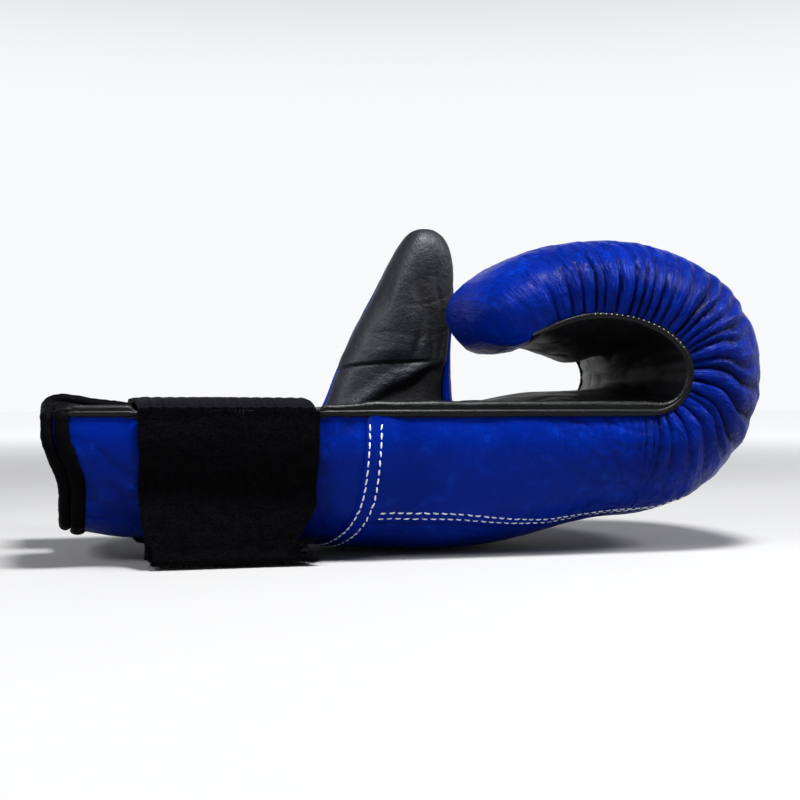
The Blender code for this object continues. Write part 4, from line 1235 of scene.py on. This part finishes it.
def build_mouth_tape():
    """Flat tape that closes the cuff's edge between the skin and the lining."""
    share = np.linspace(0, 1, 100)[None, :]
    grids = []
    for station in (RIM_S - 1.3 * MM, RIM_S - 0.4 * MM):
        rings = []
        for inset in (0.7 * MM, 2.5 * MM, 4.4 * MM, 6.2 * MM):
            s = np.full(share.shape, station)
            points, _ = back_grid(s + rim_slant(s, share), share, even_layer(inset))
            rings.append(points[0])
        grids.append(np.array(rings))
    points, faces = shell(*grids)
    item = add_piece("cuff_mouth_tape", points, faces, TAPE, [],
                     {"crease_shade": np.zeros(len(points))})
    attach(item, "hand")


def surface_line(s, share):
    """Points and normals of a line over the back, lying on the relief of the hand's skin."""
    def at(near_s, near_share):
        shifted = near_s + hand_shift(near_s, near_share)
        points, lengths = back_grid(shifted[:, None], near_share[:, None], OUTSIDE)
        return points[:, 0], lengths[:, 0]

    step_s, step_share = 0.4 * MM, 0.002
    middle, lengths = at(s, share)
    along_s = at(s + step_s, share)[0] - at(s - step_s, share)[0]
    along_share = at(s, share + step_share)[0] - at(s, share - step_share)[0]
    normals = unit(np.cross(along_s, along_share))
    outward = middle - section_centres(s)
    normals = normals * np.sign((normals * outward).sum(axis=1, keepdims=True))
    height, _ = panel_relief(s, share, lengths)
    points = middle + normals * (height + THREAD_LIFT)[:, None]
    points[:, 2] = np.maximum(points[:, 2], 0.3 * MM)
    return points, normals


def add_stitches(name, line, ups, nodes, seed, stations=None, size=STITCH):
    """White thread along a line. With stations it bends at the knuckle."""
    pitch, length, radius = size
    points, faces, marks = capsules(line, ups, pitch, length, radius, seed, stations)
    attributes = None if stations is None else {"station": marks}
    item = add_piece(name, points, faces, THREAD, nodes, attributes, cut=False)
    if stations is None:
        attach(item, "hand")
    else:
        ride_knuckle(item)


def build_stitches():
    """Lockstitch: double rows down the cuff seam and along both side seams, and the fine row
    that shows outside the gathers' seam."""
    shares = np.linspace(0.012, 0.988, 260)
    for label, step, seed in (("a", -CUFF_ROWS, 6), ("b", CUFF_ROWS, 5)):
        line, ups = surface_line(np.full(shares.shape, CUFF_SEAM + step), shares)
        add_stitches("cuff_seam_stitches_" + label, line, ups, ["cuff_seam_thread_" + label], seed)
    rows = np.linspace(CUFF_SEAM + 4 * MM, 224 * MM, 200)
    curl_rows = np.linspace(250 * MM, 290 * MM, 200)
    for side, sign in (("little", -1), ("index", 1)):
        for label, step in (("a", -SIDE_ROWS), ("b", SIDE_ROWS)):
            share = side_seam(rows) + step
            if side == "index":
                share = 1 - share
            line, ups = surface_line(rows, share)
            add_stitches(f"{side}_seam_stitches_{label}", line, ups,
                         [f"{side}_seam_thread_{label}"], 9, rows)
        line, _ = seam_line(curl_rows, sign, 0.1 * MM, 1.35 * MM)
        out = np.tile([0.0, sign, 0.0], (len(line), 1))
        add_stitches(f"{side}_gather_stitches", line, out, [], 13, curl_rows, FINE_STITCH)


def build_band():
    """Ribbed elastic band across the palm side of the wrist."""
    rows = np.linspace(STRAP_S[0] + 0.3 * MM, STRAP_S[1] - 0.3 * MM, 96)
    shares = np.linspace(-1, 1, 90)
    s, share = cells(rows, shares)
    half = section_limits(s, OUTSIDE)[1] * (1 - SEAM_TUCK)
    arch = 1 - np.abs(share) ** 6
    z = PALM_Z + 0.6 * MM + BAND_ARCH * arch
    rib = np.abs(np.sin(s / (4.2 * MM) * math.pi))
    edge = np.minimum(s - rows[0], rows[-1] - s)
    rolled = 0.5 * MM * (1 - smoothstep(0, 2.2 * MM, edge))
    wave = 0.3 * MM * lattice(s / (15 * MM), share * 3, 91)
    top = z + 1.55 * MM + 0.45 * MM * rib - rolled + wave
    bottom = z - 0.1 * MM + wave
    outer = np.stack([RIM_X + s, half * share, top], axis=-1)
    inner = np.stack([RIM_X + s, half * share, bottom], axis=-1)
    points, faces = shell(outer, inner)
    item = add_piece("wrist_elastic", points, faces, ELASTIC, ["elastic_band"])
    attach(item, "hand")


def fibres(points, normals, count, length, radius, seed):
    """Points and faces of short bent hairs on a surface, as thin closed prisms."""
    points, normals = points.reshape(-1, 3), normals.reshape(-1, 3)
    rng = np.random.RandomState(seed)
    picks = rng.randint(0, len(points), count)
    made, faces = [], []
    for pick in picks:
        root = points[pick] + rng.normal(0, 0.35 * MM, 3)
        up = normals[pick]
        bend = rng.normal(0, 0.75, 3)
        reach = length * rng.uniform(0.35, 1.0)
        side = unit(np.cross(up, rng.normal(0, 1, 3)))
        other = np.cross(up, side)
        base = len(made)
        for t in (-0.25, 0.4, 0.8, 1.0):
            centre = root + up * reach * t + bend * reach * max(t, 0) ** 2 * 0.8
            width = radius * (1.0 if t < 0.9 else 0.35)
            for k in range(3):
                a = 2 * math.pi * k / 3
                made.append(centre + width * (side * math.cos(a) + other * math.sin(a)))
        faces += [tuple(base + v for v in face) for face in tube_faces(4, 3)]
    return np.array(made), faces


def matted(s, across, seed):
    """Uneven height of brushed pile, in metres."""
    coarse = 0.22 * MM * lattice(s / (5.5 * MM), across / (4.5 * MM), seed)
    fine = 0.16 * MM * lattice(s / (1.5 * MM), across / (1.6 * MM), seed + 1)
    return coarse + fine + 0.1 * MM * lattice(s / (0.8 * MM), across / (0.8 * MM), seed + 2)


def build_strap():
    """Loop-pile strap down the little-finger side: on the skin first, then hanging free."""
    rows = np.linspace(STRAP_S[0] - 0.2 * MM, STRAP_S[1] + 0.2 * MM, 92)
    run = np.linspace(0, 1, 74)
    s, t = cells(rows, run)
    bow = 1.6 * MM * np.sin(math.pi * t)
    lower = smoothstep(0.62, 1.0, t)
    centre = 0.5 * (rows[0] + rows[-1])
    moved = s - bow * (s - centre) / (30 * MM) * 0.35
    beside = (s - centre) / (30.5 * MM)
    moved = moved - 8.5 * MM * lower * smoothstep(0.2, 1.0, beside)
    moved = moved + 2.5 * MM * lower * smoothstep(0.2, 1.0, -beside)
    frayed = 0.35 * MM * lattice(t * 9, s / (30 * MM), 93)
    moved = moved + frayed * smoothstep(0.7, 1.0, np.abs(beside))
    share = 0.005 + 0.2 * np.minimum(t / 0.72, 1.0)
    around, _ = back_grid(moved, share, even_layer(-2.3 * MM))
    hang = np.clip((t - STRAP_LEAVES) / (1 - STRAP_LEAVES), 0, 1)
    anchor = around[:, int(np.searchsorted(run, STRAP_LEAVES))]
    drop_z = anchor[:, None, 2] + (3.2 * MM - anchor[:, None, 2]) * hang
    side_y = anchor[:, None, 1] + (STRAP_FOOT_Y - anchor[:, None, 1]) * smoothstep(0, 1, hang)
    straight = np.stack([RIM_X + moved, side_y, drop_z], axis=-1)
    outer = np.where((t > STRAP_LEAVES)[..., None], straight, around)
    inward = grid_normals(outer, section_centres(moved))
    relief = matted(s, t * 60 * MM, 95)
    edge = np.minimum(s - rows[0], rows[-1] - s)
    soft_edge = smoothstep(0, 1.5 * MM, edge)
    thick = 2.0 * MM * (0.45 + 0.55 * soft_edge)
    face = pushed(outer, inward, relief * soft_edge)
    back = pushed(outer, inward, -thick)
    back[..., 2] = np.maximum(back[..., 2], 0.3 * MM)
    hairs = fibres(face, inward, 5200, 0.9 * MM, 0.045 * MM, 97)
    rim, rim_out = (np.concatenate([grid[0], grid[-1], grid[:, 0], grid[:, -1]])
                    for grid in (face, inward))
    rim_hairs = fibres(rim, rim_out, 900, 1.3 * MM, 0.05 * MM, 98)
    points, faces = joined(shell(face, back), hairs, rim_hairs)
    item = add_piece("strap_loop_pile", points, faces, LOOP, ["strap_side"])
    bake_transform(item, "hand", "strap", (-0.0727, -0.047, 0.0518), (-0.0727, -0.047, 0.0455))


def build_loop_patch():
    """Loop-pile patch on the back of the cuff, which the strap's tail closes on."""
    rows = np.linspace(STRAP_S[0] + 0.5 * MM, STRAP_S[1] - 0.5 * MM, 80)
    s, part = cells(rows, np.linspace(0, 1, 60))
    seam = side_seam(s)
    share = seam + (1 - 2 * seam) * (1 + part) / 3
    points, _ = back_grid(s, share, OUTSIDE)
    normals = grid_normals(points, section_centres(s))
    across = np.minimum(part, 1 - part) * 30 * MM
    edge = np.minimum(np.minimum(s - rows[0], rows[-1] - s), across)
    thick = (0.5 + 0.9 * smoothstep(0, 1.5 * MM, edge)) * MM
    thick = thick + 0.1 * MM * lattice(s / (3 * MM), part * 12, 96)
    points, faces = shell(pushed(points, normals, thick), points - normals * 0.3 * MM)
    item = add_piece("cuff_loop_patch", points, faces, LOOP, ["loop_patch"])
    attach(item, "hand")


def build_tail():
    """The strap's free end: it turns under at the foot and lies on the floor, with frayed cuts."""
    xs = np.linspace(TAIL_X[0] + 2.5 * MM, TAIL_X[1] + 0.5 * MM, 96)
    run = np.linspace(0, 1, 48)
    x, t = cells(xs, run)
    bend = [(TAIL_Y[0] + 6.4 * MM, 8.4 * MM), (TAIL_Y[0] + 5.6 * MM, 5.6 * MM),
            (TAIL_Y[0] + 3.6 * MM, 3.0 * MM), (TAIL_Y[0] + 3.8 * MM, 1.7 * MM),
            (TAIL_Y[0] + 8 * MM, 1.5 * MM), (TAIL_Y[1] - 6 * MM, 1.5 * MM), (TAIL_Y[1], 1.6 * MM)]
    path = resample(rounded(np.array([(a, b, 0.0) for a, b in bend]), 3), 0.2 * MM)
    length = run_of(path)
    y = np.interp(t * length[-1], length, path[:, 0])
    z = np.interp(t * length[-1], length, path[:, 1])
    z = z + 0.25 * MM * lattice(x / (9 * MM), t * 4, 101) * smoothstep(0.25, 0.5, t)
    frayed = smoothstep(TAIL_X[1] - 7 * MM, TAIL_X[1], x)
    ragged = 1.7 * MM * lattice(t * 13, 0 * t, 102) + 0.9 * MM * lattice(t * 31, 0 * t, 103)
    notch = 4.4 * MM * bell(t - 0.14, 0.07) - 1.2 * MM * bell(t - 0.3, 0.09)
    x = x + (ragged - notch) * frayed
    left = 1 - smoothstep(TAIL_X[0], TAIL_X[0] + 8 * MM, x)
    x = x + (0.8 * MM * lattice(t * 11, 0 * t, 104) + 1.2 * MM * t) * left
    face = np.stack([x, y, z], axis=-1)
    normals = unit(np.cross(np.gradient(face, axis=0), np.gradient(face, axis=1)))
    if normals[40, 2, 1] > 0:      # the face that hangs down looks towards -Y
        normals = -normals
    relief = matted(x, t * 40 * MM, 105)
    outer = face + normals * (0.35 * MM + relief)[..., None]
    inner = face - normals * 1.15 * MM
    for grid in (outer, inner):
        grid[..., 2] = np.maximum(grid[..., 2], 0.12 * MM)
    hairs = fibres(outer[:, :24], normals[:, :24], 1700, 1.0 * MM, 0.05 * MM, 107)
    cut_edge = outer[-3:].reshape(-1, 3)
    away = np.tile([0.8, -0.5, 0.2], (len(cut_edge), 1))
    frill = fibres(cut_edge, away, 420, 2.2 * MM, 0.07 * MM, 108)
    for hair_points, _ in (hairs, frill):
        hair_points[:, 2] = np.maximum(hair_points[:, 2], 0.1 * MM)
    points, faces = joined(shell(outer, inner), hairs, frill)
    item = add_piece("strap_tail_loop", points, faces, LOOP, ["strap_tail"])
    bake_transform(item, "strap", "strap_tail", (-0.073, -0.0515, 0.0045), (-0.073, -0.0515, 0.0015))
    hooks_x, hooks_y = cells(np.linspace(TAIL_X[0] + 2 * MM, TAIL_X[1] - 2 * MM, 88),
                             np.linspace(HOOK_Y[0], HOOK_Y[1], 22))
    peg_x = np.sin(hooks_x / (1.25 * MM) * math.pi)
    peg_y = np.sin(hooks_y / (1.2 * MM) * math.pi)
    peg = 0.32 * MM * np.abs(peg_x * peg_y)
    top = np.stack([hooks_x, hooks_y, 2.55 * MM + peg], axis=-1)
    bottom = np.stack([hooks_x, hooks_y, np.full(hooks_x.shape, 2.0 * MM)], axis=-1)
    points, faces = shell(top, bottom)
    hook = add_piece("strap_tail_hooks", points, faces, HOOK, ["hook_patch"])
    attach(hook, "strap_tail")


# Thumb
def thumb_surface(z, degrees, offset):
    """Points of the thumb's sleeve at heights z and angles, drawn in by offset."""
    angle = np.radians(degrees)
    top = THUMB_TIP_Z - THUMB_DOME
    q = np.clip((z - top) / THUMB_DOME, 0.0, 1.0)
    dome = (1 - q ** THUMB_POWER) ** (1 / THUMB_POWER)
    left, right = along(THUMB_LEFT, z), along(THUMB_RIGHT, z)
    half_x = np.maximum((right - left) / 2 - offset, 1 * MM) * dome
    half_y = (THUMB_HALF_Y - offset) * dome
    lean_y = THUMB_LEAN_Y * (z - THUMB_BASE_Z) / (THUMB_TIP_Z - THUMB_BASE_Z)
    x = (left + right) / 2 + half_x * np.sign(np.cos(angle)) * np.abs(np.cos(angle)) ** 0.8
    y = THUMB_Y + lean_y + half_y * np.sign(np.sin(angle)) * np.abs(np.sin(angle)) ** 0.8
    skirt = np.clip((62 * MM - z) / (9.8 * MM), 0, 1) ** 2
    foot_x = x + 1.4 * MM * np.cos(angle)
    foot_y = y + 1.4 * MM * np.minimum(np.sin(angle), 0)
    over = np.maximum(foot_y - 49.3 * MM, 0)
    foot_y = foot_y - 0.5 * over
    foot_z = 52.0 * MM - 0.95 * over
    x = x + (foot_x - x) * skirt
    y = y + (foot_y - y) * skirt
    z = z - offset * q + (foot_z - THUMB_BASE_Z) * skirt
    return np.stack([x, y, z], axis=-1)


def thumb_rows():
    """Heights of the thumb's rows, closer together towards the tip."""
    rows = list(np.linspace(THUMB_BASE_Z, THUMB_TIP_Z - THUMB_DOME, 112))
    turn = np.linspace(0, math.pi / 2, 20)[1:]
    rows += [THUMB_TIP_Z - THUMB_DOME + THUMB_DOME * math.sin(a) ** (2 / THUMB_POWER) for a in turn]
    return np.array(rows)


def thumb_seams(z):
    """Angles of the seams between the black front and the blue back, on the right and the left."""
    t = np.clip((z - THUMB_BASE_Z) / (THUMB_TIP_Z - THUMB_BASE_Z), 0, 1)
    right = -19 - 20 * (1 - smoothstep(0.05, 0.75, t)) + 10 * smoothstep(0.82, 1.0, t)
    left = 173 + 11 * (1 - smoothstep(0.0, 0.4, t))
    return right, left


def thumb_relief(z, degrees, front):
    """Relief of the thumb's leather: seam tucks, a seam across the root, creases and a fold, with painted
    shade in them and over the front's right side.
    """
    right, left = thumb_seams(z)
    from_right = np.radians(np.abs(degrees - (right + 360 if front else right))) * 16 * MM
    from_left = np.radians(np.abs(degrees - left)) * 16 * MM
    near = np.minimum(from_right, from_left)
    tuck = bell(near, 1.3 * MM)
    girth = np.radians(degrees) * 16 * MM
    height = 0.4 * MM * lattice(z / (19 * MM), girth / (15 * MM), 121 + front)
    waves = 0.25 * np.sin(girth / (25 * MM) * 3)
    across = creases(z / (15 * MM) + waves, girth / (21 * MM), 123 + front, 5.0)
    small = creases((z + 0.5 * girth) / (5.5 * MM), (girth - 0.4 * z) / (9 * MM), 127 + front, 6.0)
    height = height - 0.16 * MM * across - 0.06 * MM * small
    # painted shade in the creases
    painted_shade = 0.2 * across + 0.1 * small
    if front:
        turn = degrees - 180
        line = THUMB_SEAM_Z - 1.5 * MM + 3.5 * MM * turn / 120
        run = 1 - smoothstep(100, 122, turn)
        seam = bell(z - line, 0.5 * MM) * run
        lip = window(line, line + 1.5 * MM, line + 3 * MM, line + 13 * MM, z)
        height = height + 0.5 * MM * lip * run - 0.45 * MM * seam
        painted_shade = painted_shade + 0.9 * seam
        below = np.clip((THUMB_SEAM_Z - z) / (19 * MM), 0, 1)
        fold_line = 291 - 52 * below
        slant = np.radians(degrees - fold_line) * 17 * MM
        low = 1 - smoothstep(68 * MM, 74 * MM, z)
        height = height + 1.3 * MM * bell(slant + 2.2 * MM, 3.4 * MM) * low
        height = height - 1.1 * MM * smoothstep(-1 * MM, 3.5 * MM, slant) * low
        # painted shadow below the slanting fold
        painted_shade = painted_shade + 0.85 * smoothstep(-0.5 * MM, 2.5 * MM, slant) * low
        ridge_line = 262 - 24 * smoothstep(80 * MM, 112 * MM, z)
        beside = np.radians(degrees - ridge_line) * 16 * MM
        tall = window(71 * MM, 78 * MM, 100 * MM, 120 * MM, z)
        # painted shade over the front's right side, as if lit from the left
        shaded = smoothstep(3 * MM, 9 * MM, beside) * smoothstep(70 * MM, 74 * MM, z)
        painted_shade = painted_shade + 0.8 * shaded * (1 - 0.55 * smoothstep(92 * MM, 122 * MM, z))
        height = height + 1.5 * MM * bell(beside, 4.5 * MM) * tall
        for offset, size, wide in ((5.5, 0.75, 1.3), (9.5, 0.55, 1.1), (13.0, 0.5, 1.2)):
            bent = beside - offset * MM - 1.2 * MM * np.sin((z - 80 * MM) / (9 * MM) + offset)
            height = height - size * MM * np.exp(-(bent / (wide * MM)) ** 2) * tall
            painted_shade = painted_shade + 0.35 * np.exp(-(bent / (wide * MM)) ** 2) * tall
    height = height - 0.85 * MM * tuck
    painted_shade = painted_shade + 0.7 * bell(near, 0.6 * MM)
    fade = 1 - smoothstep(THUMB_TIP_Z - 3 * MM, THUMB_TIP_Z, z)
    return height * fade, painted_shade * fade


def ride_thumb(item):
    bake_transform(item, "hand", "thumb", (0.008, 0.045, 0.0515), (0.008, 0.045, 0.066))


def build_thumb():
    """Thumb sleeve: black leather towards the palm, a lighter copy painted as if lit, blue behind, sewn to
    the palm at its root.
    """
    rows = thumb_rows()
    right, left = thumb_seams(rows)
    for name, front, material, slot, nodes, count in (
            ("thumb_front_black", 1, THUMB_BLACK_PAINTED_LIT, "black_leather",
             ["thumb_front_panel", "thumb_base_panel"], 96),
            ("thumb_back_blue", 0, BLUE, "blue_leather", ["thumb_back_panel"], 60)):
        t = np.linspace(0, 1, count)[None, :]
        begin = (left if front else right)[:, None]
        end = (right + 360 if front else left)[:, None]
        degrees = begin + (end - begin) * t
        z = np.repeat(rows[:, None], count, axis=1)
        points = thumb_surface(z, degrees, 0.0)
        centre = np.stack([(along(THUMB_LEFT, z) + along(THUMB_RIGHT, z)) / 2,
                           np.full(z.shape, THUMB_Y + 1 * MM), np.minimum(z, 112 * MM)], axis=-1)
        normals = grid_normals(points, centre)
        height, painted_shade = thumb_relief(z, degrees, front)
        outer = pushed(points, normals, height)
        inner = pushed(points, normals, 0.5 * height - SKIN)
        outer[-1] = points[-1].mean(axis=0)
        inner[-1] = points[-1].mean(axis=0) - np.array([0, 0, SKIN])
        made, faces = shell(outer, inner)
        item = add_piece(name, made, faces, material, nodes, {"crease_shade": twice(painted_shade)},
                         weld=0.02 * MM)
        ride_thumb(item)
    degrees = np.linspace(15, 165, 40)
    foam_rows = rows[rows < 123 * MM]
    z, angle = cells(foam_rows, degrees)
    outer = thumb_surface(z, angle, 2.1 * MM)
    inner = thumb_surface(z, angle, 6.6 * MM)
    made, faces = shell(outer, inner)
    pad = add_piece("thumb_foam_pad", made, faces, FOAM, ["thumb_foam"])
    ride_thumb(pad)
    degrees = np.linspace(0, 360, 64, endpoint=False)
    z, angle = cells(rows, degrees)
    behind = smoothstep(-0.1, 0.75, np.sin(np.radians(angle)))
    outer = thumb_surface(z, angle, 2.9 * MM + 4.2 * MM * behind)
    inner = thumb_surface(z, angle, 3.6 * MM + 4.2 * MM * behind)
    made, faces = shell(outer, inner, ring=True)
    sleeve = add_piece("thumb_lining_sleeve", made, faces, LINING, ["thumb_lining"],
                       weld=0.02 * MM)
    ride_thumb(sleeve)


# Floor, light and camera
def build_floor():
    size = 6.0
    mesh = bpy.data.meshes.new("floor")
    cells = 40
    axis = np.linspace(-size, size, cells + 1)
    points = [(x, y, 0.0) for x in axis for y in axis]
    faces = []
    for i in range(cells):
        for j in range(cells):
            a = i * (cells + 1) + j
            faces.append((a, a + cells + 1, a + cells + 2, a + 1))
    mesh.from_pydata(points, [], faces)
    mesh.materials.append(floor_material())
    floor = bpy.data.objects.new("floor", mesh)
    floor.location = (0, 0, -0.0003)
    bpy.context.scene.collection.objects.link(floor)


LAMPS = [                      # name, place, target, sides in metres, watts
    ("key", (0.1, -0.26, 1.0), (0.04, 0, 0.05), (0.24, 0.22), 22.0),
    ("left", (-0.8, -0.45, 0.6), (0.02, 0, 0.08), (0.3, 0.32), 6.5),
    ("right", (0.9, -0.25, 0.7), (0.08, 0, 0.07), (0.2, 0.3), 8.0)]


def area_light(name, place, target, size, power):
    light = bpy.data.lights.new(name, "AREA")
    light.shape = "RECTANGLE"
    light.size, light.size_y = size
    light.energy = power
    item = bpy.data.objects.new(name, light)
    item.location = place
    direction = Vector(target) - Vector(place)
    item.rotation_euler = direction.to_track_quat("-Z", "Y").to_euler()
    bpy.context.scene.collection.objects.link(item)


def build_lights():
    """Soft studio: a pale surround, darker overhead and in front, and three lamps."""
    world = bpy.data.worlds.new("studio")
    bpy.context.scene.world = world
    world.use_nodes = True
    tree = world.node_tree
    background = tree.nodes["Background"]
    direction = tree.nodes.new("ShaderNodeTexCoord")
    split = tree.nodes.new("ShaderNodeSeparateXYZ")
    tree.links.new(direction.outputs["Generated"], split.inputs["Vector"])
    colour = None
    for axis, low, high, dim in (("Y", 0.35, -0.5, (0.22, 0.225, 0.25, 1)),
                                 ("Z", 0.22, 0.5, (0.10, 0.105, 0.12, 1))):
        reach = tree.nodes.new("ShaderNodeMapRange")
        reach.interpolation_type = "SMOOTHSTEP"
        reach.inputs["From Min"].default_value = low
        reach.inputs["From Max"].default_value = high
        tree.links.new(split.outputs[axis], reach.inputs["Value"])
        ramp = tree.nodes.new("ShaderNodeMix")
        ramp.data_type = "RGBA"
        ramp.inputs["A"].default_value = (0.94, 0.95, 0.96, 1)
        ramp.inputs["B"].default_value = dim
        if colour is not None:
            tree.links.new(colour, ramp.inputs["A"])
        tree.links.new(reach.outputs["Result"], ramp.inputs["Factor"])
        colour = ramp.outputs["Result"]
    tree.links.new(colour, background.inputs["Color"])
    background.inputs["Strength"].default_value = 1.0
    for lamp in LAMPS:
        area_light(*lamp)


def build_camera():
    camera = bpy.data.cameras.new("camera")
    camera.lens = 57.3
    camera.sensor_width = 36
    item = bpy.data.objects.new("camera", camera)
    item.location = (-0.1247, -0.4821, 0.0565)
    item.rotation_euler = (math.pi / 2, 0, math.radians(-14.5))
    bpy.context.scene.collection.objects.link(item)
    bpy.context.scene.camera = item


bpy.context.scene.view_settings.view_transform = "Standard"
build_camera()
build_lights()
build_floor()
build_blue_skin()
build_cuff()
build_palm_skin()
build_cuff_foam()
build_hand_foam()
build_lining()
build_piping()
build_binding_edge()
build_binding_fold()
build_mouth_tape()
build_stitches()
build_band()
build_strap()
build_loop_patch()
build_tail()
build_thumb()
bpy.context.view_layer.update()
